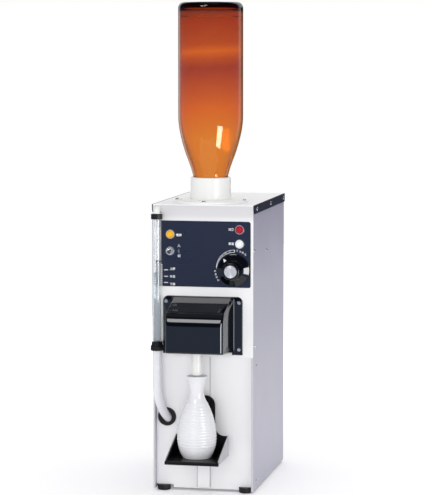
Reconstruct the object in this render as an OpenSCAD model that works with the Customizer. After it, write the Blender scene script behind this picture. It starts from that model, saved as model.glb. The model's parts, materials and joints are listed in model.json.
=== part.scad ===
// Sake warmer for a counter. An upturned bottle feeds a coil in a hot-water tank, and the warm sake runs
// out of a nozzle under the hood into a flask on a tray that slides on a rail.
// Everything is drawn from the middle of the fascia's front face, at floor level, and moved by cased().

/* [Casing] */
// Width over the side panels
case_w = 165; // [160:1:190]
// Depth from the fascia to the rear cover
case_d = 284; // [278:1:330]
// Height of the casing's panels
case_h = 465; // [460:1:480]
// Gap between the floor and the panels' lower edges
floor_gap = 4; // [3:0.5:6]
// Thickness of the steel sheet
sheet = 1.2; // [1:0.1:1.5]
// Height of the fascia's lower edge
fascia_z = 223; // [219:1:226]
// How far the lower panel stands back from the fascia
recess = 13; // [12:1:16]
// Width of the box hem along the side panels' front edges
hem_w = 3; // [2.5:0.5:4]
// Height of a foot
foot_h = 9; // [7:0.5:11]
// Radius of a foot
foot_r = 11; // [9:0.5:12]
// Height of the trim strip along each side of the lid
strip_h = 14; // [12:1:18]
// Thickness of a trim strip
strip_t = 1.6; // [1:0.1:2.5]
// Radius of a casing screw's head
screw_r = 3.2; // [2.5:0.1:3.6]

/* [Control plate] */
// Width of the control plate
plate_w = 156.6; // [155:0.2:158]
// Height of the control plate
plate_h = 106.5; // [104:0.5:110]
// Height of the control plate's lower edge above the floor
plate_z = 336.5; // [334:0.5:340]
// Thickness of the control plate
plate_t = 1; // [0.8:0.1:1.5]
// Radius of a lamp's bezel
bezel_r = 7.8; // [7:0.1:8.5]
// Radius of the dial's skirt
skirt_r = 26; // [22:0.5:27]
// Height of the dial from the skirt's back to its cap
knob_h = 29; // [24:0.5:32]
// Radius of the dial's hub at its base
hub_r = 15.5; // [13:0.5:17]
// Radius of the dial's metal cap
cap_r = 10; // [8:0.5:11]

/* [Hood and nozzle] */
// Width of the hood's flange
flange_w = 131; // [126:1:133]
// Height of the hood's flange
flange_h = 94; // [92:1:96]
// How far the hood stands out of the fascia
hood_reach = 73; // [68:1:80]
// Half the hood's width at its front
hood_front_x = 47.2; // [42:0.2:48]
// Half the hood's width at its flange
hood_back_x = 50.7; // [49:0.1:52]
// Wall of the hood
hood_wall = 2.5; // [2:0.1:3]
// How far the nozzle and flask stand out of the fascia
pour_reach = 47; // [45:0.5:49]
// Outer radius of the nozzle
nozzle_r = 8.2; // [7:0.1:8.8]
// Bore radius of the nozzle
nozzle_bore = 5.5; // [4.5:0.1:6]

/* [Sight tube and hose] */
// Outer radius of the sight tube
tube_r = 7.2; // [6.5:0.1:7.4]
// Wall of the sight tube
tube_wall = 1.8; // [1.2:0.1:2.2]
// Outer radius of the hose
hose_r = 7.2; // [6.5:0.1:7.4]
// Bore radius of the hose
hose_bore = 5; // [4.4:0.1:5.4]
// Radius of the hose's bend
hose_bend = 75; // [65:1:90]
// Outer radius of the grommet
grommet_r = 15; // [13:0.5:16]

/* [Tray and flask] */
// Width over the tray's steel bracket
tray_w = 87; // [80:1:96]
// How far the tray's front edge stands out of the fascia
tray_reach = 90; // [86:1:96]
// Height of the tray's floor
tray_z = 67; // [62:1:70]
// Width of the rail's front web
rail_w = 22; // [18:1:26]
// Width of the backrest
backrest_w = 44; // [38:1:50]
// Height of the backrest's top
backrest_z = 161.5; // [150:1:166]
// Height of the flask
flask_h = 132; // [128:0.5:132]
// Wall of the flask
flask_wall = 3; // [2.5:0.1:3.6]

/* [Bottle and socket] */
// Height of the upturned bottle
bottle_h = 396; // [392:1:400]
// Radius of the bottle
bottle_r = 52.7; // [50:0.1:54]
// Wall of the bottle
glass_wall = 3.2; // [2.6:0.1:4]
// How far the bottle's axis stands behind the fascia
bottle_y = 62; // [62:0.5:66]
// Radius of the socket's flange
socket_r = 61; // [58:0.5:61.5]
// Outer radius of the socket's collar
collar_r = 32.7; // [32:0.1:35]
// Bore radius of the socket's collar
collar_bore = 29; // [28.8:0.1:29.4]

/* [Water tank] */
// Width of the tank
tank_w = 136; // [130:1:140]
// Depth of the tank
tank_d = 162; // [150:1:166]
// Height of the tank
tank_h = 320; // [310:1:322]
// Height of the stand under the tank
stand_h = 50; // [45:1:50]
// Radius of the coil's centreline
coil_r = 50; // [44:0.5:54]
// Radius of the sake pipe
pipe_r = 5; // [4:0.1:5.2]
// Wall of the sake pipe
pipe_wall = 1; // [0.6:0.1:1.5]
// Rise of the coil in one turn
coil_pitch = 14; // [13:0.5:15]

/* [Hidden] */
$fn = 64;
case_top = floor_gap + case_h;
gland_reach = 18;
front_y = -(case_d + gland_reach - tray_reach) / 2;
half_w = case_w / 2;
inner_x = half_w - sheet;
slip = 0.3;                       // running gap between pieces that move past each other
fit = 0.1;                        // gap round a pin or tube in its hole
shank_r = 1.5;
screw_head_h = 2;

foot_x = half_w - hem_w - foot_r - 0.5;
foot_y = 14;
pan_flange = 14;
pan_z = foot_h;
pan_top = pan_z + sheet;
panel_back = recess + sheet;
tab_z = fascia_z - 28;            // the lower panel's side tabs, which its screws hold
tab_reach = 34;
strip_screw_z = case_top - 6.5;
strip_screw_y = [20, case_d / 2 + 1, case_d - 18];
side_screws_at = [[6, 396.5], [117, 387], [6.5, 240.5], [24, 207], [26, 18]];
rear_screws_at = [for (x = [-1, 1], z = [20, 235, 450]) [x * (half_w - 8), z]];
louvre_w = 56;
louvre_h = 4;
louvre_step = 11;
louvre_count = 8;
louvre_z = 330;

plate_y = -plate_t;               // front face of the control plate
amber_at = [-53.5, 421];
red_at = [60.3, 430];
clear_at = [60.3, 407];
lamps_at = [amber_at, red_at, clear_at];
lamp_body_r = 5.8;
lamp_depth = 26;
bezel_h = 2;
lens_r = bezel_r - 1.3;
lens_h = 4.6;
lens_seat = 0.8;
lens_ledge = 1.2;
lens_side = (lens_r - 0.5) * cos(22.5);
lens_rise = lens_h - bezel_h;
lens_slope = 1.6;
toggle_at = [-53.7, 394];
toggle_bush_r = 5.6;
toggle_bore_r = 4.1;
toggle_reach = 9;
toggle_nut_r = 7;
toggle_nut_h = 2.4;
toggle_tilt = 13;
toggle_len = 21;
toggle_pivot_y = plate_y;
dial_at = [51, 365];
skirt_gap = 0.6;
skirt_back_y = plate_y - skirt_gap;
skirt_rim_h = 2.6;
skirt_slope = 31;                 // rise of the skirt towards the hub, in degrees
skirt_h = skirt_rim_h + (skirt_r - hub_r - 2) * tan(skirt_slope);
pointer_turn = 42;                // the pointer's angle left of straight up
shaft_r = 3;
shaft_fit = 0.06;
thermostat_depth = 30;
thermostat_w = 34;
thermostat_neck_r = 5;

flange_z = fascia_z + 4.5;
flange_top = flange_z + flange_h;
flange_t = 3;
flange_screws_at = [for (x = [-1, 1], z = [9, flange_h - 9]) [x * (flange_w / 2 - 6), flange_z + z]];
hood_bottom_front = 237.5;
hood_bottom_back = 232;
hood_top = flange_top - 0.5;       // height of the hood's slope at the fascia
hood_nose_r = 18;
hood_slope = 18;                  // fall of the hood's top, in degrees
hood_corner_r = 10;
valve_w = 26;
valve_z = 249;
port_z = valve_z + valve_w / 2;
valve_coil_r = 13;
valve_coil_h = 22;
mouth_gap = 1;                    // gap between the flask's mouth and the nozzle
nozzle_z = tray_z + flask_h + mouth_gap;

tube_x = -73.5;
tube_y = -11.5;
fitting_z = 233;
fitting_h = 13.5;
fitting_r = 10.4;
fitting_step = 7;
fitting_web = 1.5;
ring_z = 446;
ring_h = 8;
ring_r = 9.3;
elbow_r = 5;
elbow_bend = 5.6;
tube_top = ring_z + ring_h + 1;
tube_foot = fitting_z + 9;
elbow_z = tube_top + 0.6 + elbow_bend;
grommet_at = [-62.5, 121];
hose_dx = grommet_at[0] - tube_x;
hose_dy = recess - tube_y;
hose_run = norm([hose_dx, hose_dy]);
hose_heading = atan2(hose_dy, hose_dx);
hose_turn = acos(1 - hose_run / hose_bend);
hose_top = tube_foot - fitting_web;
hose_bend_z = grommet_at[1] + hose_bend * sin(hose_turn);
hose_more = 20;                   // how far the hose bends on inside the casing
drain_r = hose_bore - fit;
drain_lead = 16;
drain_seat = 4;
grommet_lip = 4;
grommet_fit = 1;                  // room for the hose's curve in the grommet's straight bore

rail_y = recess - 8;              // front face of the rail's web
rail_t = 1.6;
rail_leg_x = 7;
rail_bottom = floor_gap + 4;
rail_top = fascia_z - 1;
shoe_w = rail_w + 8;
shoe_h = 26;
shoe_front = -6;
bracket_t = 1.2;
liner_t = 1.6;
floor_t = 3;
lip_h = 6;
lip_d = 4;
cheek_h = 30;
tray_back = shoe_front;
shoulder_z = tray_z + cheek_h - 1.2;
shoulder_fillet = 15;
backrest_t = 2.4;
backrest_corner = 16;
shoe_z = tray_z + 2;

flask_shape = [[0, 22.5], [8.7, 27], [17.5, 29.8], [28.2, 31.2], [38.9, 31.1], [53, 29.4], [65.6, 26.4],
    [76.2, 22.7], [87, 18], [95.7, 13.4], [104, 11.4], [115, 12.2], [125, 14.6], [132, 17.5]];
rib_pitch = 4.8;
rib_start = 18;
rib_count = 15;
rib_h = 0.35;

bottle_foot_r = 9;
neck_r = 15.2;
neck_part = 66;                   // height above the mouth where the width starts to follow bottle_r
bottle_shape = [[214, 52.7], [203, 52.1], [189, 49.5], [173, 44.6], [156, 39.4], [140, 34.8], [124, 30.8],
    [112, 28], [96, 24.2], [76, 19.8], [51, 16.8], [24, neck_r]];
plug_stem_h = 14;                 // length of the plug's stem in the bottle's neck
neck_ring_h = 8;
neck_ring_r = 16.6;
cup_wall = 2.4;
cup_r = collar_bore + cup_wall;
socket_t = 4;
socket_step_r = 50;
socket_step_h = 1.6;
socket_neck_r = cup_r + 2.1;
socket_neck_top = case_top + 15;
cup_lip_h = 1.2;
collar_z = socket_neck_top + cup_lip_h;
collar_top = case_top + 41.4;
socket_screw_ring = 56;
mouth_drop = 71;                  // depth of the bottle's mouth below the casing's top
mouth_z = case_top - mouth_drop;
plug_drop = 10;
plug_r = 19;
plug_z = mouth_z - plug_drop;
gasket_h = 3;
cup_floor = 3;
cup_z = plug_z - gasket_h - cup_floor;
spigot_r = 6.4;
spigot_h = 10;
spigot_wall = 2;

tank_wall = 1.2;
tank_corner = 12;
tank_front = 100;
tank_z = pan_top + stand_h;
tank_mid_y = tank_front + tank_d / 2;
tank_top = tank_z + tank_h;
pipe_bend = 15;
coil_sides = 6;
coil_rings = 24;                  // rings in one turn
coil_foot = port_z;
coil_room = min(tank_top - 22, cup_z - spigot_h - pipe_bend) - coil_foot;
coil_turns = floor(coil_room / coil_pitch - 0.5) + 0.5;
coil_head = coil_foot + coil_turns * coil_pitch;
outlet_y = tank_front - 30;
heater_r = 4;
heater_x = 22;
heater_z = tank_z + 30;
heater_len = 120;
bulb_r = 4;
bulb_len = 70;
capillary_r = 1.2;
capillary_bend = 10;
gland_at = [52, 40];
gland_r = 9;
gland_bore = 4.2;
block_w = 60;
block_h = 22;

// ---- shared forms ----

module cased() translate([0, front_y, 0]) children();

// A cylinder along Y from y0 to y1, with its axis at (x, z)
module bar_y(r, y0, y1, x = 0, z = 0) translate([x, y1, z]) rotate([90, 0, 0]) cylinder(h = y1 - y0, r = r);

// A cylinder along X from x0 to x1, with its axis at (y, z)
module bar_x(r, x0, x1, y, z) translate([x0, y, z]) rotate([0, 90, 0]) cylinder(h = x1 - x0, r = r);

// A block given by its lowest and highest corners
module block(low, high) translate(low) cube(high - low);

// A rectangle centred on the origin, with its own radius at the top and bottom corners
module rounded(w, h, top_r, bottom_r) {
    wide = max(top_r, bottom_r);
    square([w - 2 * wide, h], center = true);
    for (side = [-1, 1]) {
        translate([side * (w / 2 - top_r), h / 2 - top_r]) circle(top_r);
        translate([side * (w / 2 - bottom_r), bottom_r - h / 2]) circle(bottom_r);
    }
    translate([-w / 2, bottom_r - h / 2]) square([w, h - top_r - bottom_r]);
    translate([top_r - w / 2, 0]) square([w - 2 * top_r, h / 2]);
    translate([bottom_r - w / 2, -h / 2]) square([w - 2 * bottom_r, h / 2]);
}

// A slot with round ends, w long over its ends
module slot(w, h) {
    square([w - h, h], center = true);
    for (side = [-1, 1]) translate([side * (w - h) / 2, 0]) circle(h / 2);
}

// Stands a drawing in X and Z upright, t thick, with its back face at y
module upright(t, y = 0) translate([0, y, 0]) rotate([90, 0, 0]) linear_extrude(t) children();

// Pan-head screw along +Y, with its head's underside at y = 0
module pan_screw(len, r = screw_r) {
    difference() {
        union() {
            bar_y(r, -screw_head_h / 2, 0);
            rotate([90, 0, 0]) translate([0, 0, screw_head_h / 2])
                cylinder(h = screw_head_h / 2, r1 = r, r2 = r * 0.72);
        }
        for (turn = [0, 90]) rotate([0, turn, 0])
            block([-r * 0.6, -screw_head_h - 1, -0.45], [r * 0.6, -screw_head_h * 0.45, 0.45]);
    }
    bar_y(shank_r, 0, len);
}

// A straight tube along +Z
module tube(h, r, bore) difference() {
    cylinder(h = h, r = r);
    translate([0, 0, -1]) cylinder(h = h + 2, r = bore);
}

// A quarter bend (or another turn) in a pipe: it starts at the origin along +Z and bends towards +X
module bend(r, radius, turn = 90, bore = 0) translate([radius, 0, 0]) rotate([90, 0, 180])
    rotate_extrude(angle = turn) translate([radius, 0]) difference() {
        circle(r);
        if (bore > 0) circle(bore);
    }

// A smooth curve through the points p, n steps to each span
function span_at(a, b, c, d, t) = 0.5 * (2 * b + (c - a) * t + (2 * a - 5 * b + 4 * c - d) * t * t
    + (3 * b - a - 3 * c + d) * t * t * t);
function smooth(p, n) = [for (i = [0:len(p) - 2], k = [0:n - 1])
    span_at(p[max(i - 1, 0)], p[i], p[i + 1], p[min(i + 2, len(p) - 1)], k / n), p[len(p) - 1]];
function reversed(p) = [for (i = [len(p) - 1:-1:0]) p[i]];

// ---- casing ----

module foot() difference() {
    union() {
        cylinder(h = 1.5, r1 = foot_r - 1.5, r2 = foot_r);
        translate([0, 0, 1.5]) cylinder(h = foot_h - 1.5, r = foot_r);
    }
    translate([0, 0, -1]) cylinder(h = 4.5, r = 4.5);
}

module feet() color("dimgray") cased()
    for (x = [-foot_x, foot_x], y = [foot_y, case_d - foot_y]) translate([x, y, 0]) foot();

module base_pan() color("silver") cased() difference() {
    union() {
        block([-inner_x, panel_back, pan_z], [inner_x, case_d - 2 * sheet, pan_top]);
        for (side = [-1, 1]) translate([side * (inner_x - sheet / 2), 0, 0])
            block([-sheet / 2, panel_back, pan_z], [sheet / 2, case_d - 2 * sheet, pan_z + pan_flange]);
    }
    for (i = [-2:2]) block([-30, 60 + i * 12, pan_z - 1], [30, 64 + i * 12, pan_top + 1]);
    for (side = [-1, 1], p = side_screws_at) bar_x(shank_r + fit, side > 0 ? inner_x - 9 : -half_w,
        side > 0 ? half_w : 9 - inner_x, p[0], p[1]);
}

// The right-hand panel; the left one is its mirror image
module side_panel() difference() {
    union() {
        block([inner_x, 0, floor_gap], [half_w, case_d - sheet, case_top - sheet]);
        block([half_w - hem_w, 0, floor_gap], [half_w, recess, fascia_z]);
        block([half_w - pan_flange, case_d - 2 * sheet, floor_gap],
            [half_w, case_d - sheet, case_top - sheet]);
    }
    block([inner_x - 1, -1, fascia_z], [half_w + 1, sheet, case_top]);
    for (p = side_screws_at) bar_x(shank_r + fit, half_w - pan_flange, half_w + 1, p[0], p[1]);
    for (y = strip_screw_y) bar_x(shank_r + fit, inner_x - 1, half_w + 1, y, strip_screw_z);
    for (p = rear_screws_at) if (p[0] > 0) bar_y(shank_r + fit, case_d - 20, case_d, p[0], p[1]);
}

module side_panel_right() color("silver") cased() side_panel();
module side_panel_left() color("silver") cased() mirror([1, 0, 0]) side_panel();

module rear_cover() color("silver") cased() difference() {
    block([-half_w, case_d - sheet, floor_gap], [half_w, case_d, case_top - sheet]);
    for (p = rear_screws_at) bar_y(shank_r + fit, case_d - 5, case_d + 1, p[0], p[1]);
    for (side = [-1, 1], i = [0:louvre_count - 1])
        translate([side * (louvre_w / 2 + 5), case_d + 1, louvre_z + i * louvre_step]) upright(sheet + 2)
            slot(louvre_w, louvre_h);
    bar_y(gland_r - 2 + fit, case_d - 5, case_d + 1, gland_at[0], gland_at[1]);
}

module top_lid() color("gainsboro") cased() difference() {
    union() {
        block([-half_w, 0, case_top - sheet], [half_w, case_d, case_top]);
        for (side = [-1, 1]) translate([side * (inner_x - sheet / 2), 0, 0])
            block([-sheet / 2, 14, case_top - strip_h], [sheet / 2, case_d - pan_flange, case_top]);
    }
    translate([0, bottle_y, case_top - 5]) cylinder(h = 10, r = cup_r + 2 * fit);
    for (side = [-1, 1], y = strip_screw_y)
        bar_x(shank_r + fit, side > 0 ? inner_x - 5 : -half_w, side > 0 ? half_w : 5 - inner_x, y,
            strip_screw_z);
    for (a = [0:90:270]) translate([0, bottle_y, 0]) rotate(a)
        translate([socket_screw_ring, 0, case_top - 5]) cylinder(h = 10, r = shank_r + fit);
}

module lid_strip() difference() {
    rotate([90, 0, 90]) linear_extrude(strip_t) {
        translate([0, case_top - strip_h / 2]) square([case_d, strip_h / 2]);
        translate([strip_h - 5, case_top - strip_h]) square([case_d - strip_h + 5, strip_h]);
        intersection() {
            translate([strip_h - 5, case_top - 5]) circle(strip_h - 5);
            translate([0, case_top - strip_h]) square([strip_h, strip_h]);
        }
    }
    for (y = strip_screw_y) bar_x(shank_r + fit, -1, strip_t + 1, y, strip_screw_z);
}

module lid_strips() color("#1f2438") cased() {
    translate([half_w, 0, 0]) lid_strip();
    mirror([1, 0, 0]) translate([half_w, 0, 0]) lid_strip();
}

module strip_screws() color("white") cased() for (side = [0, 1], y = strip_screw_y) mirror([side, 0, 0])
    translate([half_w + strip_t, y, strip_screw_z]) rotate([0, 0, 90])
        pan_screw(strip_t + 3 * sheet, screw_r);

module casing_screws() color("gainsboro") cased() {
    for (side = [0, 1], p = side_screws_at) mirror([side, 0, 0])
        translate([half_w, p[0], p[1]]) rotate([0, 0, 90]) pan_screw(4, screw_r * 0.8);
    for (p = rear_screws_at) translate([p[0], case_d, p[1]]) rotate([0, 0, 180]) pan_screw(4, screw_r);
}

module fascia() color("gainsboro") cased() difference() {
    union() {
        block([-half_w, 0, fascia_z], [half_w, sheet, case_top - sheet]);
        block([-half_w + hem_w, 0, fascia_z], [half_w - hem_w, recess, fascia_z + sheet]);
        for (side = [-1, 1]) translate([side * (inner_x - sheet / 2), 0, 0])
            block([-sheet / 2, 0, fascia_z + 12], [sheet / 2, 12, case_top - strip_h - 1]);
    }
    for (p = lamps_at) bar_y(lamp_body_r + fit, -1, sheet + 1, p[0], p[1]);
    bar_y(toggle_bush_r + fit, -1, sheet + 1, toggle_at[0], toggle_at[1]);
    bar_y(thermostat_neck_r + fit, -1, sheet + 1, dial_at[0], dial_at[1]);
    bar_y(pipe_r + 3, -1, sheet + 1, 0, port_z);
    bar_y(elbow_r + fit, -1, sheet + 1, tube_x, elbow_z);
    for (p = flange_screws_at) bar_y(shank_r + fit, -1, sheet + 1, p[0], p[1]);
    for (side = [-1, 1], p = side_screws_at) bar_x(shank_r + fit, side > 0 ? inner_x - 5 : -half_w,
        side > 0 ? half_w : 5 - inner_x, p[0], p[1]);
}

module lower_panel() color("gainsboro") cased() difference() {
    union() {
        block([-inner_x, recess, floor_gap], [inner_x, panel_back, fascia_z + 10]);
        for (side = [-1, 1]) translate([side * (inner_x - sheet / 2), 0, 0])
            block([-sheet / 2, recess, tab_z], [sheet / 2, tab_reach, fascia_z + 10]);
    }
    for (side = [-1, 1]) translate([side * foot_x, 0, 0])
        block([-foot_r - slip, recess - 1, 0], [foot_r + slip + 5, panel_back + 1, foot_h]);
    for (side = [-1, 1]) translate([side * inner_x, 0, 0])
        block([-foot_r, recess - 1, 0], [foot_r, panel_back + 1, foot_h]);
    bar_y(grommet_r - 2, recess - 1, panel_back + 1, grommet_at[0], grommet_at[1]);
    for (side = [-1, 1], p = side_screws_at) bar_x(shank_r + fit, side > 0 ? inner_x - 5 : -half_w,
        side > 0 ? half_w : 5 - inner_x, p[0], p[1]);
}

// ---- control plate ----

module control_plate() color("#232a40") cased() difference() {
    translate([0, 0, plate_z + plate_h / 2]) upright(plate_t) rounded(plate_w, plate_h, 4, 3);
    for (p = lamps_at) bar_y(lamp_body_r + fit, plate_y - 1, 1, p[0], p[1]);
    bar_y(toggle_bush_r + fit, plate_y - 1, 1, toggle_at[0], toggle_at[1]);
    bar_y(thermostat_neck_r + fit, plate_y - 1, 1, dial_at[0], dial_at[1]);
}

module lamp_housings() color("whitesmoke") cased() for (p = lamps_at) translate([p[0], plate_y, p[1]])
    difference() {
        union() {
            rotate([90, 0, 0]) cylinder(h = bezel_h, r1 = bezel_r, r2 = bezel_r - 0.7);
            bar_y(lamp_body_r, 0, lamp_depth);
        }
        bar_y(lens_r - lens_ledge, -bezel_h - 1, 4);
        bar_y(lens_r, -bezel_h - 1, -lens_seat);
    }

// A lens with a round seat and an eight-sided, sloping front
module lamp_lens(p) translate([p[0], plate_y, p[1]]) rotate([90, 0, 0]) {
    translate([0, 0, -2]) cylinder(h = 3, r = lens_r - lens_ledge - fit);
    translate([0, 0, lens_seat]) cylinder(h = bezel_h - lens_seat, r = lens_r - fit);
    translate([0, 0, bezel_h]) intersection_for(turn = [0:45:135]) rotate([90, 0, turn])
        linear_extrude(2 * lens_r, center = true)
            polygon([[-lens_side, 0], [lens_side, 0], [lens_side - lens_slope, lens_rise],
                [lens_slope - lens_side, lens_rise]]);
}

module lamp_lens_amber() color("orange") cased() lamp_lens(amber_at);
module lamp_lens_red() color("crimson") cased() lamp_lens(red_at);
module lamp_lens_clear() color("white") cased() lamp_lens(clear_at);

module toggle_body() color("#303030") cased() translate([toggle_at[0], 0, toggle_at[1]]) difference() {
    union() {
        block([-8, sheet, -13], [8, 24, 13]);
        bar_y(toggle_bush_r, -toggle_reach, sheet + 1);
        for (z = [-8, 0, 8]) block([-2, 23, z - 0.5], [2, 32, z + 0.5]);
    }
    bar_y(toggle_bore_r, -toggle_reach - 1, 8);
}

module toggle_nut() color("silver") cased() translate([toggle_at[0], plate_y, toggle_at[1]]) difference() {
    rotate([90, 0, 0]) union() {
        cylinder(h = 0.8, r = toggle_nut_r);
        rotate(15) cylinder(h = toggle_nut_h, r = toggle_nut_r, $fn = 6);
    }
    bar_y(toggle_bush_r + fit, -toggle_nut_h - 1, 1);
}

module toggle_lever() color("silver") cased() translate([toggle_at[0], toggle_pivot_y, toggle_at[1]])
    rotate([90 - toggle_tilt, 0, 0]) {
        sphere(r = toggle_bore_r - 0.9);
        bar_x(1.2, slip - toggle_bore_r, toggle_bore_r - slip, 0, 0);
        cylinder(h = toggle_len - 3, r1 = 1.5, r2 = 2.7);
        translate([0, 0, toggle_len - 3]) sphere(r = 2.7);
    }

// Half of the knob's outline, from the skirt's back to its face
module knob_outline() polygon([[0, 0], [skirt_r - 0.8, 0], [skirt_r, 0.9], [skirt_r, skirt_rim_h - 0.5],
    [skirt_r - 0.5, skirt_rim_h], [hub_r + 1.5, skirt_h],
    for (a = [skirt_slope:(90 - skirt_slope) / 4:90])
        [hub_r + 3.2 - 3.2 * sin(a), skirt_h + 2.8 - 3.2 * cos(a)],
    [hub_r - 1.6, knob_h - 2.6],
    for (a = [0:22.5:90]) [hub_r - 3.2 + 1.6 * cos(a), knob_h - 2.2 + 1.6 * sin(a)],
    [cap_r + fit, knob_h - 0.6], [cap_r + fit, knob_h - 1.4], [0, knob_h - 1.4]]);

module on_dial() cased() translate([dial_at[0], skirt_back_y, dial_at[1]]) rotate([90, 0, 0]) children();

module dial_knob() color("#101012") on_dial() difference() {
    rotate_extrude() knob_outline();
    translate([0, 0, -1]) cylinder(h = knob_h - 6, r = shaft_r + shaft_fit);
    translate([0, 0, -1]) cylinder(h = 3.2, r = thermostat_neck_r + 1);
    pointer_form();
}

module dial_cap() color("gainsboro") on_dial() translate([0, 0, knob_h - 1.4])
    cylinder(h = 1.7, r1 = cap_r, r2 = cap_r - 0.2);

// The pointer's triangle, let into the skirt's slope
module pointer_form() rotate(pointer_turn) translate([0, skirt_r - 0.5, skirt_rim_h])
    rotate([-skirt_slope, 0, 0]) translate([0, 0, -1]) linear_extrude(1.2)
        polygon([[-2.7, -7.6], [2.7, -7.6], [0, -1]]);

module dial_pointer() color("white") on_dial() pointer_form();

module thermostat_shaft() color("silver") on_dial()
    translate([0, 0, -12]) cylinder(h = knob_h - 7 + 12, r = shaft_r);

module thermostat_body() color("#c9c2b0") cased() translate([dial_at[0], 0, dial_at[1]]) difference() {
    union() {
        block([-thermostat_w / 2, sheet, -thermostat_w / 2],
            [thermostat_w / 2 - 6, thermostat_depth, thermostat_w / 2]);
        bar_y(thermostat_neck_r, plate_y - 0.4, sheet + 1);
        for (z = [-10, 10]) block([-3, thermostat_depth - 1, z - 0.5], [3, thermostat_depth + 8, z + 0.5]);
    }
    bar_y(shaft_r + shaft_fit, plate_y - 2, 12);
}

// ---- hood, valve and nozzle ----

// Side view of the hood, drawn in y and z, grown inwards by gap
module hood_side(gap) {
    nose_y = -hood_reach + gap;
    nose_r = hood_nose_r - gap;
    corner = [hood_nose_r - hood_reach,
        hood_top - (hood_reach - hood_nose_r) * tan(hood_slope) - hood_nose_r / cos(hood_slope)];
    back_y = gap > 0 ? 1 : 0;
    drop = gap > 0 ? 20 : 0;
    polygon([[back_y, hood_bottom_back - drop], [nose_y, hood_bottom_front - drop],
        for (a = [0:12:90 - hood_slope]) corner + nose_r * [-cos(a), sin(a)],
        [back_y, corner[1] + nose_r / cos(hood_slope) + (back_y - corner[0]) * tan(hood_slope)]]);
}

// The hood's plan, drawn in x and y, grown inwards by gap
module hood_plan(gap) {
    r = hood_corner_r;
    front = hood_reach - gap;
    polygon([[hood_back_x - gap, 1], for (a = [0:15:90])
        [hood_front_x - gap - r + r * cos(a), -front + r - r * sin(a)],
        for (a = [90:-15:0]) [-(hood_front_x - gap - r + r * cos(a)), -front + r - r * sin(a)],
        [gap - hood_back_x, 1]]);
}

module hood_form(gap) intersection() {
    translate([-hood_back_x - 1, 0, 0]) rotate([90, 0, 90])
        linear_extrude(2 * hood_back_x + 2) hood_side(gap);
    translate([0, 0, flange_z - 40]) linear_extrude(flange_h + 80) hood_plan(gap);
}

module hood() color("#0d0e12") cased() difference() {
    union() {
        hood_form(0);
        translate([0, 0, flange_z + flange_h / 2]) upright(flange_t) rounded(flange_w, flange_h, 9, 4);
    }
    hood_form(hood_wall);
    block([-hood_back_x + hood_wall, -flange_t - 1, flange_z - 5],
        [hood_back_x - hood_wall, 1, hood_top - 8]);
    for (p = flange_screws_at) bar_y(shank_r + fit, -flange_t - 1, 1, p[0], p[1]);
}

module hood_screws() color("gainsboro") cased() for (p = flange_screws_at)
    translate([p[0], -flange_t, p[1]]) pan_screw(flange_t + sheet + 2, screw_r * 0.95);

module pour_valve() color("goldenrod") cased() translate([0, -pour_reach, 0]) difference() {
    union() {
        block([-valve_w / 2, -valve_w / 2, valve_z], [valve_w / 2, valve_w / 2, valve_z + valve_w]);
        bar_y(pipe_r + 3.2, valve_w / 2 - 1, valve_w / 2 + 6, 0, port_z);
    }
    translate([0, 0, valve_z - 1]) cylinder(h = valve_w / 2 + 1, r = nozzle_bore);
    bar_y(pipe_r + fit, valve_w / 2, valve_w, 0, port_z);
    bar_y(pipe_r - 1.2, 0, valve_w, 0, port_z);
}

module valve_coil() color("#26324a") cased() translate([0, -pour_reach, valve_z + valve_w]) {
    cylinder(h = valve_coil_h - 3, r = valve_coil_r);
    translate([0, 0, valve_coil_h - 3]) cylinder(h = 3, r = valve_coil_r - 5);
    block([-5, valve_coil_r - 3, 3], [5, valve_coil_r + 5, 12]);
}

module nozzle() color("whitesmoke") cased() translate([0, -pour_reach, 0]) difference() {
    union() {
        translate([0, 0, nozzle_z + 1]) cylinder(h = valve_z - nozzle_z - 1, r = nozzle_r);
        translate([0, 0, nozzle_z]) cylinder(h = 1, r1 = nozzle_r - 0.8, r2 = nozzle_r);
        translate([0, 0, valve_z - 4]) cylinder(h = 4, r = nozzle_r + 3);
    }
    translate([0, 0, nozzle_z - 1]) cylinder(h = valve_z - nozzle_z + 2, r = nozzle_bore);
}

// From the coil's lower end, round two bends, through the fascia and into the valve
module outlet_run(r) {
    bar_y(r, outlet_y + pipe_bend, tank_mid_y, coil_r, port_z);
    translate([coil_r, outlet_y + pipe_bend, port_z]) rotate([90, 0, 0]) rotate(180) bend(r, pipe_bend);
    bar_x(r, pipe_bend, coil_r - pipe_bend, outlet_y, port_z);
    translate([0, outlet_y - pipe_bend, port_z]) rotate([-90, 0, 0]) bend(r, pipe_bend);
    bar_y(r, valve_w / 2 - pour_reach, outlet_y - pipe_bend, 0, port_z);
}

module outlet_pipe() color("silver") cased() difference() {
    outlet_run(pipe_r);
    outlet_run(pipe_r - pipe_wall);
}

// ---- sight tube and hose ----

module at_tube() cased() translate([tube_x, tube_y, 0]) children();

module sight_tube() color("#dfe8ec", 0.5) at_tube() difference() {
    translate([0, 0, tube_foot]) cylinder(h = tube_top - tube_foot, r = tube_r);
    translate([0, 0, tube_foot - 1]) cylinder(h = tube_top - tube_foot + 2, r = tube_r - tube_wall);
}

module sight_ring_top() color("#151515") at_tube() difference() {
    union() {
        translate([0, 0, ring_z]) cylinder(h = ring_h, r = ring_r);
        block([-5, 0, ring_z + 1], [5, -tube_y, ring_z + ring_h - 1]);
    }
    translate([0, 0, ring_z - 1]) cylinder(h = ring_h + 2, r = tube_r + fit);
}

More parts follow.
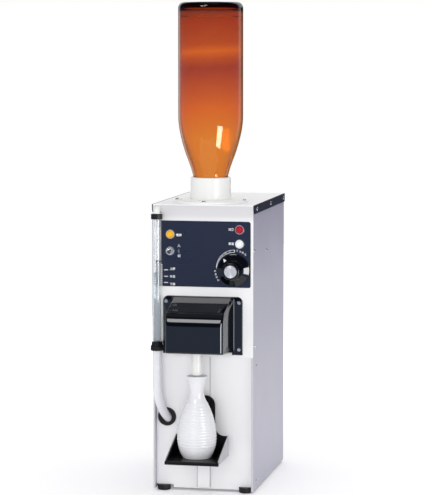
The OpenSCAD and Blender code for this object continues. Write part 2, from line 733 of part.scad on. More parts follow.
module sight_elbow() color("whitesmoke") at_tube() {
    difference() {
        translate([0, 0, tube_top]) cylinder(h = 0.6, r = tube_r);
        translate([0, 0, tube_top - 1]) cylinder(h = 3, r = elbow_r - 1.6);
    }
    translate([0, 0, tube_top + 0.6]) rotate(90) bend(elbow_r, elbow_bend, 90, elbow_r - 1.6);
    difference() {
        bar_y(elbow_r, elbow_bend, sheet - tube_y + 8, 0, elbow_z);
        bar_y(elbow_r - 1.6, elbow_bend - 1, sheet - tube_y + 9, 0, elbow_z);
    }
}

module sight_fitting() color("#17171a") at_tube() difference() {
    union() {
        translate([0, 0, fitting_z]) cylinder(h = fitting_step, r = fitting_r);
        translate([0, 0, fitting_z + fitting_step]) cylinder(h = 2, r1 = fitting_r, r2 = tube_r + 1.5);
        translate([0, 0, fitting_z]) cylinder(h = fitting_h, r = tube_r + 1.5);
        block([-6, 0, fitting_z + 1], [6, -tube_y, fitting_z + 13]);
    }
    translate([0, 0, tube_foot]) cylinder(h = fitting_h, r = tube_r + fit);
    translate([0, 0, fitting_z - 1]) cylinder(h = hose_top - fitting_z + 1, r = hose_r + fit);
    translate([0, 0, fitting_z]) cylinder(h = fitting_h, r = hose_bore - 1);
}

// Straight down from the fitting and round one bend through the grommet
module hose_run_of(r) rotate(hose_heading) {
    translate([0, 0, hose_bend_z]) cylinder(h = hose_top - hose_bend_z, r = r);
    translate([0, 0, hose_bend_z]) rotate([180, 0, 0]) bend(r, hose_bend, hose_turn + hose_more);
}

// Puts its children where the hose has turned by angle a, with +Z along the hose
module on_hose(a) rotate(hose_heading)
    translate([hose_bend * (1 - cos(a)), 0, hose_bend_z - hose_bend * sin(a)])
    rotate([0, 180 - a, 0]) children();

module hose() color("#e8e8f0") at_tube() difference() {
    hose_run_of(hose_r);
    hose_run_of(hose_bore);
}

module grommet() color("#121214") difference() {
    cased() translate([grommet_at[0], 0, grommet_at[1]]) rotate([90, 0, 0]) union() {
        translate([0, 0, -recess]) rotate_extrude() polygon([[0, 0], [grommet_r, 0],
            for (a = [0:18:90]) [grommet_r - 2 + 2 * cos(a), grommet_lip - 2 + 2 * sin(a)],
            for (a = [0:18:90]) [grommet_r - 4 - 2 * sin(a), grommet_lip - 1.5 * (1 - cos(a))], [0, 1.5]]);
        translate([0, 0, -panel_back]) cylinder(h = sheet, r = grommet_r - 2 - fit);
        translate([0, 0, -panel_back - 3]) cylinder(h = 3, r = grommet_r);
    }
    at_tube() on_hose(hose_turn) translate([0, 0, -grommet_r])
        cylinder(h = 2 * grommet_r, r = hose_r + grommet_fit);
}

module drain_elbow() color("silver") at_tube() {
    end = hose_turn + hose_more;
    out = hose_bend * (1 - cos(end)) + drain_lead * sin(end);
    joint = [out * cos(hose_heading), out * sin(hose_heading),
        hose_bend_z - hose_bend * sin(end) - drain_lead * cos(end)];
    translate(joint) sphere(r = drain_r + 1);
    on_hose(end) translate([0, 0, -drain_seat]) cylinder(h = drain_lead + drain_seat, r = drain_r);
    bar_y(drain_r, joint[1], tank_front - tube_y, joint[0], joint[2]);
    bar_y(drain_r + 4, tank_front - tube_y - 8, tank_front - tube_y, joint[0], joint[2], $fn = 6);
}

// ---- rail, tray and flask ----

module rail() color("gainsboro") cased() {
    block([-rail_w / 2, rail_y, rail_bottom], [rail_w / 2, rail_y + rail_t, rail_top]);
    for (side = [-1, 1]) translate([side * rail_leg_x, 0, 0])
        block([-rail_t / 2, rail_y, rail_bottom], [rail_t / 2, recess, rail_top]);
}

module tray_shoe() color("#222226") cased() difference() {
    block([-shoe_w / 2, shoe_front, shoe_z], [shoe_w / 2, rail_y + rail_t + 2.4, shoe_z + shoe_h]);
    block([-rail_w / 2 - slip, rail_y - slip, shoe_z - 1],
        [rail_w / 2 + slip, rail_y + rail_t + slip, shoe_z + shoe_h + 1]);
    block([-rail_leg_x - rail_t / 2 - slip, rail_y, shoe_z - 1],
        [rail_leg_x + rail_t / 2 + slip, recess, shoe_z + shoe_h + 1]);
}

// Triangle of a cheek in y and z, dropped by gap from the bracket's edge
module cheek(gap) polygon([[lip_d - tray_reach, tray_z - floor_t], [tray_back, tray_z - floor_t],
    [tray_back, tray_z + cheek_h - gap], [lip_d - tray_reach, tray_z + 2 - gap]]);

module tray_bracket() color("silver") cased() {
    under = tray_z - floor_t - bracket_t;
    block([-tray_w / 2, lip_d - tray_reach, under], [tray_w / 2, tray_back, under + bracket_t]);
    for (side = [-1, 1]) translate([side * (tray_w - bracket_t) / 2 - bracket_t / 2, 0, 0])
        rotate([90, 0, 90]) linear_extrude(bracket_t) cheek(0);
    block([-tray_w / 2, tray_back - bracket_t, under], [tray_w / 2, tray_back, tray_z + cheek_h - 2]);
}

// Front view of the back wall and the backrest above it
module backrest_view() {
    half = backrest_w / 2;
    inside = tray_w / 2 - bracket_t;
    difference() {
        union() {
            translate([-inside, tray_z - floor_t]) square([2 * inside, shoulder_z - tray_z + floor_t]);
            translate([-half - shoulder_fillet, tray_z]) square([2 * (half + shoulder_fillet),
                shoulder_z + shoulder_fillet - tray_z]);
        }
        for (side = [-1, 1]) translate([side * (half + shoulder_fillet), shoulder_z + shoulder_fillet])
            circle(shoulder_fillet);
    }
    translate([0, (backrest_z + tray_z) / 2]) rounded(backrest_w, backrest_z - tray_z, backrest_corner, 1);
}

module tray_liner() color("#0b0b0d") cased() {
    inside = tray_w / 2 - bracket_t;
    block([-inside, lip_d - tray_reach, tray_z - floor_t], [inside, tray_back - bracket_t, tray_z]);
    for (side = [-1, 1]) translate([side * (inside - liner_t / 2) - liner_t / 2, 0, 0]) rotate([90, 0, 90])
        linear_extrude(liner_t) intersection() {
            cheek(1.2);
            translate([-tray_reach, tray_z - floor_t]) square([tray_reach + tray_back - bracket_t, 200]);
        }
    upright(backrest_t, tray_back - bracket_t) backrest_view();
    translate([-tray_w / 2, 0, 0]) rotate([90, 0, 90]) linear_extrude(tray_w) {
        translate([lip_d - tray_reach - 2, tray_z - lip_h]) square([2, lip_h]);
        translate([-tray_reach, tray_z - lip_h + 2]) square([lip_d, lip_h - 4]);
        for (z = [tray_z - lip_h + 2, tray_z - 2]) translate([2 - tray_reach, z]) circle(2);
    }
}

function rib_at(z) = z > rib_start && z < rib_start + rib_count * rib_pitch
    ? rib_h * (1 - cos(360 * (z - rib_start) / rib_pitch)) / 2 : 0;
function flask_line(gap) = let (line = smooth(flask_shape, 8), tall = line[len(line) - 1][0])
    [for (z = [0:rib_pitch / 4:tall - 0.1])
        [lookup(z, line) + (gap == 0 ? rib_at(z) : -gap), z * flask_h / tall],
        [line[len(line) - 1][1] - gap, flask_h]];

module flask() color("white") cased() translate([0, -pour_reach, tray_z]) {
    outside = flask_line(0);
    inside = [for (p = flask_line(flask_wall)) if (p[1] > 5) p];
    rotate_extrude() polygon(concat([[0, 1], [18, 1], [19.5, 0]], outside, reversed(inside), [[0, 5]]));
}

// ---- bottle and socket ----

// Outline of the bottle from its straight body down to its mouth, drawn in by gap
function bottle_line(gap) = [for (p = smooth(bottle_shape, 4))
    let (share = max(0, p[0] - neck_part) / (bottle_shape[0][0] - neck_part))
    [p[1] + (bottle_r - bottle_shape[0][1]) * share - gap, p[0]]];

module at_bottle() cased() translate([0, bottle_y, mouth_z]) children();

module bottle() color("#b5480c", 0.6) at_bottle() {
    foot = bottle_foot_r;
    outside = [for (a = [90:-15:0]) [bottle_r - foot + foot * cos(a), bottle_h + foot * sin(a) - foot]];
    neck = [[neck_r, neck_ring_h], [neck_ring_r, neck_ring_h - 1], [neck_ring_r, 1], [neck_ring_r - 1, 0]];
    bore = [[neck_r - glass_wall, 0], for (p = reversed(bottle_line(glass_wall))) p, for (a = [0:18:90])
        [bottle_r - glass_wall - 7 + 7 * cos(a), bottle_h - foot - 2 + 6 * sin(a)]];
    rotate_extrude() polygon(concat([[0, bottle_h - 3], [bottle_r - foot - 6, bottle_h - 1.5]], outside,
        bottle_line(0), neck, bore, [[0, bottle_h - foot + 2]]));
}

// The sake that fills the bottle, a hair inside the glass
module bottle_sake() color("#f4e3b0", 0.5) at_bottle() {
    level = bottle_h - 24;
    rotate_extrude() polygon(concat([[0, level], [bottle_r - glass_wall - fit, level]],
        bottle_line(glass_wall + fit), [[neck_r - glass_wall - fit, plug_stem_h], [0, plug_stem_h]]));
}

module bottle_plug() color("whitesmoke") cased() translate([0, bottle_y, plug_z]) difference() {
    union() {
        cylinder(h = plug_drop + neck_ring_h, r = plug_r);
        translate([0, 0, plug_drop]) cylinder(h = plug_stem_h, r = neck_r - glass_wall - fit);
    }
    difference() {
        translate([0, 0, plug_drop]) cylinder(h = plug_stem_h + 1, r = neck_ring_r + fit);
        translate([0, 0, plug_drop - 1]) cylinder(h = plug_stem_h + 3, r = neck_r - glass_wall - fit);
    }
    translate([0, 0, -1]) cylinder(h = plug_drop + plug_stem_h + 2, r = 5);
}

module socket_flange() color("whitesmoke") cased() translate([0, bottle_y, case_top]) difference() {
    union() {
        cylinder(h = socket_t - 1, r = socket_r);
        translate([0, 0, socket_t - 1]) cylinder(h = 1, r1 = socket_r, r2 = socket_r - 1);
        translate([0, 0, socket_t]) cylinder(h = socket_step_h, r1 = socket_step_r, r2 = socket_step_r - 1);
        cylinder(h = socket_neck_top - case_top, r = socket_neck_r);
    }
    translate([0, 0, -1]) cylinder(h = 40, r = cup_r + fit);
    for (a = [0:90:270]) rotate(a) translate([socket_screw_ring, 0, -1]) cylinder(h = 10, r = shank_r + fit);
}

module socket_collar() color("white") cased() translate([0, bottle_y, collar_z]) rotate_extrude() {
    tall = collar_top - collar_z;
    polygon([[collar_bore, 0], [collar_r, 0], for (a = [0:22.5:90])
        [collar_r - 2 + 2 * cos(a), tall - 2 + 2 * sin(a)], [collar_bore, tall]]);
}

module socket_cup() color("white") cased() translate([0, bottle_y, 0]) difference() {
    union() {
        translate([0, 0, cup_z]) cylinder(h = socket_neck_top - cup_z, r = cup_r);
        translate([0, 0, socket_neck_top]) cylinder(h = cup_lip_h, r = socket_neck_r - 0.4);
        translate([0, 0, cup_z - spigot_h]) cylinder(h = spigot_h, r = spigot_r);
    }
    translate([0, 0, cup_z + cup_floor]) cylinder(h = collar_z, r = collar_bore);
    translate([0, 0, cup_z - spigot_h - 1]) cylinder(h = 40, r = pipe_r - pipe_wall);
    translate([0, 0, cup_z - spigot_h - 1]) cylinder(h = spigot_h + 1 - spigot_wall, r = pipe_r + fit);
}

module socket_gasket() color("#2a2a2c") cased() translate([0, bottle_y, cup_z + cup_floor]) difference() {
    cylinder(h = gasket_h, r = plug_r + 2);
    translate([0, 0, -1]) cylinder(h = gasket_h + 2, r = 6);
}

module socket_screws() color("gainsboro") cased() for (a = [0:90:270])
    translate([0, bottle_y, case_top + socket_t]) rotate(a) translate([socket_screw_ring, 0, 0])
        rotate([-90, 0, 0]) pan_screw(socket_t + sheet + 2, screw_r);

// ---- water tank ----

module tank_plan(gap) rounded(tank_w - 2 * gap, tank_d - 2 * gap, tank_corner - gap, tank_corner - gap);

module tank_stand() color("silver") cased() {
    for (side = [-1, 1]) translate([side * (tank_w / 2 - 16), 0, 0]) {
        block([-sheet / 2, tank_front + 20, pan_top], [sheet / 2, tank_front + tank_d - 20, tank_z]);
        block([-10, tank_front + 20, pan_top], [10, tank_front + tank_d - 20, pan_top + sheet]);
    }
    block([16 - tank_w / 2, tank_front + 20, tank_z - sheet],
        [tank_w / 2 - 16, tank_front + tank_d - 20, tank_z]);
}

module tank() color("silver") cased() difference() {
    translate([0, tank_mid_y, tank_z]) linear_extrude(tank_h) tank_plan(0);
    translate([0, tank_mid_y, tank_z + tank_wall]) linear_extrude(tank_h) tank_plan(tank_wall);
    bar_y(pipe_r + fit, tank_front - 5, tank_mid_y, coil_r, port_z);
    bar_y(pipe_r + fit, tank_front - 5, tank_mid_y, -coil_r, coil_head);
    bar_y(capillary_r + fit, tank_front - 5, tank_mid_y, dial_at[0] - 12, dial_at[1]);
    for (side = [-1, 1]) bar_y(heater_r + fit, tank_front - 5, tank_mid_y, side * heater_x, heater_z);
}

module tank_lid() color("silver") cased() translate([0, tank_mid_y, tank_top])
    linear_extrude(tank_wall) tank_plan(-1.5);

// Centre of the coil's pipe at angle a, from its foot at the right-hand side
function coil_at(a) = [coil_r * cos(a), tank_mid_y + coil_r * sin(a), coil_foot + coil_pitch * a / 360];
coil_steps = coil_rings * coil_turns;
// Least distance between ring centres of neighbouring turns, less the pipe's thickness
coil_gap = min([for (i = [0:coil_rings], j = [coil_rings - 2:coil_rings + 2])
    norm(coil_at((i + j) * 360 / coil_rings) - coil_at(i * 360 / coil_rings))]) - 2 * pipe_r;
coil_points = [for (i = [0:coil_steps], k = [0:coil_sides - 1])
    let (a = i * 360 / coil_rings, b = k * 360 / coil_sides + 30)
    coil_at(a) + pipe_r * [cos(a) * cos(b), sin(a) * cos(b), sin(b)]];

module sake_coil() color("silver") cased() {
    echo(str("Least gap between the coil's turns: ", coil_gap, " mm"));
    polyhedron(coil_points, concat(
        [[for (k = [0:coil_sides - 1]) k]],
        [for (i = [0:coil_steps - 1], k = [0:coil_sides - 1])
            let (a = i * coil_sides, n = (k + 1) % coil_sides)
            each [[a + k, a + coil_sides + k, a + n], [a + n, a + coil_sides + k, a + coil_sides + n]]],
        [[for (k = [coil_sides - 1:-1:0]) coil_steps * coil_sides + k]]));
}

// From the cup's spigot down, across and back into the coil's upper end
module feed_pipe() color("silver") cased() {
    bore = pipe_r - pipe_wall;
    bend_top = coil_head + pipe_bend;
    translate([0, bottle_y, bend_top]) tube(cup_z - spigot_wall - bend_top, pipe_r, bore);
    translate([0, bottle_y, bend_top]) rotate([0, 180, 0]) bend(pipe_r, pipe_bend, 90, bore);
    translate([pipe_bend - coil_r, bottle_y, coil_head]) rotate([0, 90, 0])
        tube(coil_r - 2 * pipe_bend, pipe_r, bore);
    translate([pipe_bend - coil_r, bottle_y, coil_head]) rotate([0, -90, 0]) rotate(90)
        bend(pipe_r, pipe_bend, 90, bore);
    translate([-coil_r, bottle_y + pipe_bend, coil_head]) rotate([-90, 0, 0])
        tube(tank_mid_y - bottle_y - pipe_bend, pipe_r, bore);
}

module heater() color("dimgray") cased() {
    far = tank_front + heater_len;
    for (side = [-1, 1]) {
        bar_y(heater_r, tank_front - 16, far, side * heater_x, heater_z);
        bar_y(heater_r + 4, tank_front - 5, tank_front, side * heater_x, heater_z, $fn = 6);
    }
    translate([0, far, heater_z]) rotate_extrude(angle = 180) translate([heater_x, 0]) circle(heater_r);
}

module thermostat_bulb() color("peru") cased() translate([dial_at[0] - 12, 0, dial_at[1]]) {
    bend_y = tank_front + 12;
    bar_y(capillary_r, thermostat_depth, bend_y);
    translate([0, bend_y, 0]) rotate([-90, 0, 0]) rotate(90) bend(capillary_r, capillary_bend);
    translate([0, bend_y + capillary_bend, -capillary_bend - 20]) cylinder(h = 20, r = capillary_r);
    translate([0, bend_y + capillary_bend, -capillary_bend - 20 - bulb_len])
        cylinder(h = bulb_len, r = bulb_r);
}

module terminal_block() color("ivory") cased() translate([0, 40, pan_top]) difference() {
    block([-block_w / 2, 0, 0], [block_w / 2, 24, block_h]);
    for (i = [-2:2]) translate([i * 11, 0, 0]) {
        block([-4, -1, 8], [4, 8, block_h + 1]);
        block([-4, 16, 8], [4, 25, block_h + 1]);
    }
}

module cord_gland() color("#1a1a1c") cased() translate([gland_at[0], 0, gland_at[1]]) difference() {
    union() {
        bar_y(gland_r, case_d, case_d + gland_reach - 4);
        translate([0, case_d + gland_reach - 4, 0]) rotate([-90, 0, 0])
            cylinder(h = 4, r1 = gland_r, r2 = gland_r - 2.5);
        bar_y(gland_r - 2, case_d - 10, case_d);
        bar_y(gland_r + 1.5, case_d - sheet - 5, case_d - sheet, $fn = 6);
    }
    bar_y(gland_bore, case_d - 12, case_d + gland_reach + 1);
}

base_pan();
feet();
side_panel_left();
side_panel_right();
rear_cover();
top_lid();
lid_strips();
strip_screws();
casing_screws();
fascia();
lower_panel();
control_plate();
lamp_housings();
lamp_lens_amber();
lamp_lens_red();
lamp_lens_clear();
toggle_body();
toggle_nut();
toggle_lever();
dial_knob();
dial_cap();
dial_pointer();
thermostat_shaft();
thermostat_body();
thermostat_bulb();
hood();
hood_screws();
nozzle();
pour_valve();
valve_coil();
outlet_pipe();
sight_tube();
sight_ring_top();
sight_elbow();
sight_fitting();
hose();
grommet();
drain_elbow();
rail();
tray_shoe();
tray_bracket();
tray_liner();
flask();
bottle();
bottle_sake();
bottle_plug();
socket_flange();
socket_collar();
socket_cup();
socket_gasket();
socket_screws();
feed_pipe();
tank_stand();
tank();
tank_lid();
sake_coil();
heater();
terminal_block();
cord_gland();
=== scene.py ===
# Looks of a counter-top sake warmer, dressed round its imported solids. Lengths are in metres.
import json
import math

import bmesh
import bpy
import numpy as np
from mathutils import Matrix, Vector


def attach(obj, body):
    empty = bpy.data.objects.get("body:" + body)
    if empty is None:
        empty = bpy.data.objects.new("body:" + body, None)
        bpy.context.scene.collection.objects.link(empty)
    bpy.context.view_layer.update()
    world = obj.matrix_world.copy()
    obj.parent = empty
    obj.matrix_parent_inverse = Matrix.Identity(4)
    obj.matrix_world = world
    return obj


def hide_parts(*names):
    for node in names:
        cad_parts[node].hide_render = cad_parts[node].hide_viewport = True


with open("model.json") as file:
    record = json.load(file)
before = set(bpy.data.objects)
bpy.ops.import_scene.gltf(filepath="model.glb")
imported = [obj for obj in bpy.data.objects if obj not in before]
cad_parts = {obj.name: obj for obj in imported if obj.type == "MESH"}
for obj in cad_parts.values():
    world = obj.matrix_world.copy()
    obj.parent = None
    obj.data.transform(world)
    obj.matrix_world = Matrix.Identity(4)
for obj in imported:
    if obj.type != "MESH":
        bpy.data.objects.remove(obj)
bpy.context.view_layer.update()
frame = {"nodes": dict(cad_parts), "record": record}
scene = bpy.context.scene
print("frame loaded:", len(frame["nodes"]), "nodes")

frontY = -0.106   # the fascia's front face


def linear(red, green, blue):
    # a colour given in 0-255 screen values, as Blender's linear light
    share = np.array((red, green, blue)) / 255
    return tuple(np.where(share < 0.0405, share / 12.92, ((share + 0.055) / 1.055) ** 2.4)) + (1.0,)


def screen(light):
    # the reverse of linear, for a colour that isn't near black
    return tuple((1.055 * light ** (1 / 2.4) - 0.055) * 255)


def addNode(tree, kind, inputs=None, **settings):
    node = tree.nodes.new(kind)
    for name, value in settings.items():
        setattr(node, name, value)
    for name, value in (inputs or {}).items():
        if isinstance(value, bpy.types.NodeSocket):
            tree.links.new(value, node.inputs[name])
        else:
            node.inputs[name].default_value = value
    return node


def mixColours(tree, share, first, second):
    # sockets 0, 6 and 7 are the factor and the two colours of a Mix node
    node = addNode(tree, "ShaderNodeMix", {0: share, 6: first, 7: second}, data_type="RGBA")
    return node.outputs[2]


def spread(tree, value, low, high, fromLow=0.3, fromHigh=0.7):
    # most of a noise lies between 0.3 and 0.7
    return addNode(tree, "ShaderNodeMapRange", {"Value": value, "From Min": fromLow, "From Max": fromHigh,
                                                "To Min": low, "To Max": high}).outputs[0]


def step(tree, value, low, high):
    return addNode(tree, "ShaderNodeMapRange", {"Value": value, "From Min": low, "From Max": high},
                   interpolation_type="SMOOTHSTEP").outputs[0]


def maths(tree, operation, first, second=0.0):
    return addNode(tree, "ShaderNodeMath", {0: first, 1: second}, operation=operation).outputs[0]


def axes(tree, vector):
    return addNode(tree, "ShaderNodeSeparateXYZ", {"Vector": vector}).outputs


def noise(tree, place, scale, detail):
    return addNode(tree, "ShaderNodeTexNoise", {"Vector": place, "Scale": scale, "Detail": detail}).outputs[0]


def colourByHeight(tree, place, tones, tilt):
    # tones: heights and screen colours, from the lowest up, which in this script carry painted light and
    # shade by height; a tilt makes the bands climb towards the right
    low, high = tones[0][0], tones[-1][0]
    across, _, up = axes(tree, place)
    height = maths(tree, "SUBTRACT", up, maths(tree, "MULTIPLY", across, tilt))
    ramp = addNode(tree, "ShaderNodeValToRGB", {"Fac": spread(tree, height, 0.0, 1.0, low, high)})
    stops = ramp.color_ramp.elements
    while len(stops) < len(tones):
        stops.new(0.5)
    for stop, (z, colour) in zip(stops, tones):
        stop.position = (z - low) / (high - low)
        stop.color = linear(*colour)
    return ramp.outputs[0]


smudgesPerMetre = 18.0


def makeFinish(name, colour, rough, metal=0.0, stretch=(1, 1, 1), grain=1500, depth=10, vary=0.05,
               smudge=0.05, tilt=0.0, edge=None, shadeLines=None, rim=None, dye=None, sockets=None):
    # a fine grain tints the colour and lifts the surface by so many thousandths of a millimetre, and broad
    # smudges change how rough it is; the colour is a single one, or a list of heights with their colours
    material = bpy.data.materials.new(name)
    material.use_nodes = True
    tree = material.node_tree
    shader = tree.nodes["Principled BSDF"]
    place = addNode(tree, "ShaderNodeTexCoord").outputs["Object"]
    stretched = addNode(tree, "ShaderNodeMapping", {"Vector": place, "Scale": stretch}).outputs[0]
    fine = noise(tree, stretched, grain, 3.0)
    broad = noise(tree, place, smudgesPerMetre, 4.0)
    base = colourByHeight(tree, place, colour, tilt) if isinstance(colour, list) else linear(*colour)
    if edge:
        # what stands in front of a depth has another colour: that colour, and the change's front and back
        front = spread(tree, axes(tree, place)[1], 1.0, 0.0, edge[1], edge[2])
        base = mixColours(tree, front, base, linear(*edge[0]))
    if shadeLines:
        # both long edges of a centred strip are painted another colour, painted shade lines: colour, and
        # where it starts and is full
        aside = maths(tree, "ABSOLUTE", axes(tree, place)[0])
        base = mixColours(tree, spread(tree, aside, 0.0, 1.0, shadeLines[1], shadeLines[2]), base, linear(*shadeLines[0]))
    if rim:
        # glass seen edge on is painted darker, a painted shade at its edges: colour, and how far the surface
        # turns away where it starts and ends
        facing = addNode(tree, "ShaderNodeLayerWeight", {"Blend": 0.5}).outputs["Facing"]
        base = mixColours(tree, spread(tree, facing, 0.0, 1.0, rim[1], rim[2]), base, linear(*rim[0]))
    darker = addNode(tree, "ShaderNodeHueSaturation", {"Value": 1 - vary, "Color": base}).outputs[0]
    lighter = addNode(tree, "ShaderNodeHueSaturation", {"Value": 1 + vary, "Color": base}).outputs[0]
    tree.links.new(mixColours(tree, fine, darker, lighter), shader.inputs["Base Color"])
    tree.links.new(spread(tree, broad, max(rough - smudge, 0.01), rough + smudge), shader.inputs["Roughness"])
    shader.inputs["Metallic"].default_value = metal
    if depth:
        bump = addNode(tree, "ShaderNodeBump", {"Strength": 1.0, "Distance": depth * 1e-6, "Height": fine})
        tree.links.new(bump.outputs[0], shader.inputs["Normal"])
    if dye:
        # light is soaked up along its way through the piece, so thick glass is darker
        soak = addNode(tree, "ShaderNodeVolumeAbsorption", {"Color": linear(*dye[0]), "Density": dye[1]})
        tree.links.new(soak.outputs[0], tree.nodes["Material Output"].inputs["Volume"])
    for socket, value in (sockets or {}).items():
        shader.inputs[socket].default_value = value
    return material


hairline = {"metal": 0.04, "grain": 2600, "depth": 3}
clearLiquid = {"grain": 200, "depth": 0, "vary": 0.01, "smudge": 0.01}
finishes = {
    # the hairline runs across the front, and the front is painted a little greyer at its top, a painted shade
    "steel_front": makeFinish("hairlineSteel", [(0.0, (248, 248, 250)), (0.44, (252, 252, 253)),
                                                (0.452, (222, 221, 224)), (0.469, (216, 215, 219))],
                              0.36, stretch=(0.03, 1, 1), vary=0.012, smudge=0.01,
                              sockets={"Specular IOR Level": 0.3}, **hairline),
    # both long edges of the rail are painted darker, painted shade lines
    "rail_steel": makeFinish("railSteel", (250, 250, 252), 0.34, stretch=(1, 1, 0.03), vary=0.012,
                             smudge=0.01, shadeLines=((150, 148, 152), 0.0100, 0.0103), **hairline),
    "steel_lid": makeFinish("lidSteel", (250, 250, 252), 0.36, stretch=(1, 0.03, 1), vary=0.02, **hairline),
    # the side is painted darker towards its top, a painted shade, and its front edge is painted lighter, a
    # painted highlight where the fold faces the front
    "steel_side": makeFinish("greySheet", [(0.0, (198, 197, 212)), (0.2, (206, 205, 219)),
                                           (0.34, (200, 199, 215)), (0.47, (172, 169, 189))],
                             0.42, metal=0.12, depth=6, vary=0.02, smudge=0.04,
                             edge=((208, 207, 212), frontY + 0.0002, frontY + 0.0012)),
    "steel_inner": makeFinish("innerSheet", (196, 196, 198), 0.36, metal=0.6, stretch=(1, 1, 0.05),
                              grain=1200, depth=8, smudge=0.08),
    "trim_navy": makeFinish("navyTrim", (36, 41, 60), 0.6, grain=1800, vary=0.06,
                            sockets={"Specular IOR Level": 0.08}),
    "plate_navy": makeFinish("navyPlate", (34, 41, 62), 0.3, grain=2400, depth=8, vary=0.06,
                             sockets={"Specular IOR Level": 0.3}),
    "screw_steel": makeFinish("screwSteel", (226, 226, 228), 0.22, metal=0.9, smudge=0.06),
    "bezel": makeFinish("chromedRing", (232, 232, 234), 0.14, metal=0.8, depth=6, vary=0.03, smudge=0.04),
    "lens_amber": makeFinish("amberLens", (250, 190, 28), 0.3, grain=700, depth=20, vary=0.06),
    "lens_red": makeFinish("redLens", (178, 6, 24), 0.22, grain=700, depth=20, vary=0.08),
    "lens_clear": makeFinish("clearLens", (250, 251, 252), 0.3, grain=700, depth=30, vary=0.04),
    "black_gloss": makeFinish("blackMoulding", (8, 11, 18), 0.06, depth=2, vary=0.1, smudge=0.02,
                              sockets={"IOR": 1.6}),
    "black_matte": makeFinish("blackCoat", (12, 12, 14), 0.5, grain=2200, depth=30, vary=0.15, smudge=0.06),
    "tray_black": makeFinish("trayEnamel", (9, 10, 14), 0.3, depth=4, vary=0.1,
                             sockets={"Specular IOR Level": 0.2}),
    # the switch is dark inside the casing, and its bush is bright where it comes through the plate
    "switch": makeFinish("switchBody", (20, 20, 22), 0.26, metal=0.6,
                         edge=((222, 222, 224), frontY - 0.0004, frontY + 0.0004)),
    "rubber_black": makeFinish("rubber", (15, 15, 17), 0.5, grain=1600, depth=30, vary=0.12, smudge=0.08),
    "cap_aluminium": makeFinish("spunCap", (232, 232, 234), 0.26, metal=0.7, grain=1800, vary=0.04,
                                smudge=0.06),
    "white_plastic": makeFinish("whiteMoulding", (244, 244, 242), 0.3, grain=900, vary=0.01),
    "hose_silicone": makeFinish("milkyHose", (236, 236, 242), 0.26, grain=500, vary=0.01, smudge=0.02),
    # the tube's edges are painted darker where it is seen edge on, a painted shade
    "tube_clear": makeFinish("clearTube", (250, 251, 252), 0.02, grain=500, depth=0, vary=0.002, smudge=0.005,
                             rim=((62, 64, 72), 0.5, 0.8),
                             sockets={"Transmission Weight": 1.0, "IOR": 1.12, "Coat Weight": 1.0,
                                      "Coat Roughness": 0.02}),
    "flask_glaze": makeFinish("whiteGlaze", (234, 235, 239), 0.16, grain=260, depth=20, vary=0.012,
                              smudge=0.04),
    "sake": makeFinish("sakeInBottle", (250, 246, 232), 0.02, **clearLiquid,
                       sockets={"Transmission Weight": 1.0, "IOR": 1.34}),
    "valve_brass": makeFinish("valveBrass", (196, 160, 92), 0.3, metal=0.9, grain=900, depth=20, vary=0.08,
                              smudge=0.08),
    "coil_blue": makeFinish("coilLacquer", (36, 50, 82), 0.4, stretch=(1, 1, 0.1), grain=1200, depth=30,
                            vary=0.1, smudge=0.06),
    "copper": makeFinish("copperTube", (200, 128, 92), 0.3, metal=0.95, grain=900, depth=20, vary=0.1,
                         smudge=0.08),
    "block_ivory": makeFinish("ivoryBlock", (222, 214, 188), 0.5, grain=900, depth=30, vary=0.03,
                              smudge=0.06),
    "print_white": makeFinish("whitePrint", (246, 247, 250), 0.5, grain=3000, depth=4, vary=0.02,
                              smudge=0.04),
    "water": makeFinish("gaugeWater", (240, 246, 250), 0.02, **clearLiquid,
                        sockets={"Transmission Weight": 1.0, "IOR": 1.12}),
}

# the full bottle's look, partly the glass's own amber and partly painted light and shade by height: a lighter
# honey shoulder, then amber that falls into shade, a lighter amber band between two dusky ones, shade again
# and a dark base; its rim is painted dark where the glass is seen edge on, a painted shade
glass = {"wall": 0.0032, "dye": (243, 209, 0), "density": 420, "passed": 0.9, "tilt": 0.07,
         "rim": ((22, 8, 6), 0.66, 0.86), "honey": (217, 124, 28), "amber": (208, 97, 20),
         "dusk": (177, 73, 25), "shade": (156, 54, 27), "dark": (90, 46, 38), "shoulder": 0.577,
         "side": 0.624, "shaded": 0.688, "band": 0.715, "bandHalf": 0.0125, "baseNears": 0.768, "base": 0.794}


def glassTone(seen):
    # light crosses two walls, each a dyed thickness between two faces that tint it by the root of their
    # colour, and a tenth is lost on the way: the colour that the faces need for the bottle to look as seen
    soakedUp = 1 - np.array(linear(*glass["dye"])[:3])
    through = glass["passed"] * np.exp(-glass["density"] * soakedUp * 2 * glass["wall"])
    return screen(np.clip(np.sqrt(np.array(linear(*seen)[:3]) / through), 0, 1))


glassLook = [(glass["shoulder"], "honey"), (glass["side"], "amber"), (glass["shaded"], "shade"),
             (glass["band"] - glass["bandHalf"], "dusk"), (glass["band"], "amber"),
             (glass["band"] + glass["bandHalf"], "dusk"), (glass["baseNears"], "shade"),
             (glass["base"], "dark")]
finishes["bottle_amber"] = makeFinish(
    "amberGlass", [(height, glassTone(glass[look])) for height, look in glassLook], 0.02, grain=120, depth=0,
    vary=0.02, smudge=0.005, tilt=glass["tilt"], rim=glass["rim"], dye=(glass["dye"], glass["density"]),
    sockets={"Transmission Weight": 1.0, "IOR": 1.5})
print("finishes made:", len(finishes))


def paint(obj, name):
    obj.data.materials.clear()
    obj.data.materials.append(finishes[name])


slotOf = {part["node"]: part["material_slot"] for part in frame["record"]["subparts"]}
ownFinish = {"top_lid": "steel_lid", "rail": "rail_steel", "tray_liner": "tray_black",
             "toggle_body": "switch"}
for nodeName, nodeObject in frame["nodes"].items():
    paint(nodeObject, ownFinish.get(nodeName, slotOf[nodeName]))
print("nodes painted:", len(slotOf))


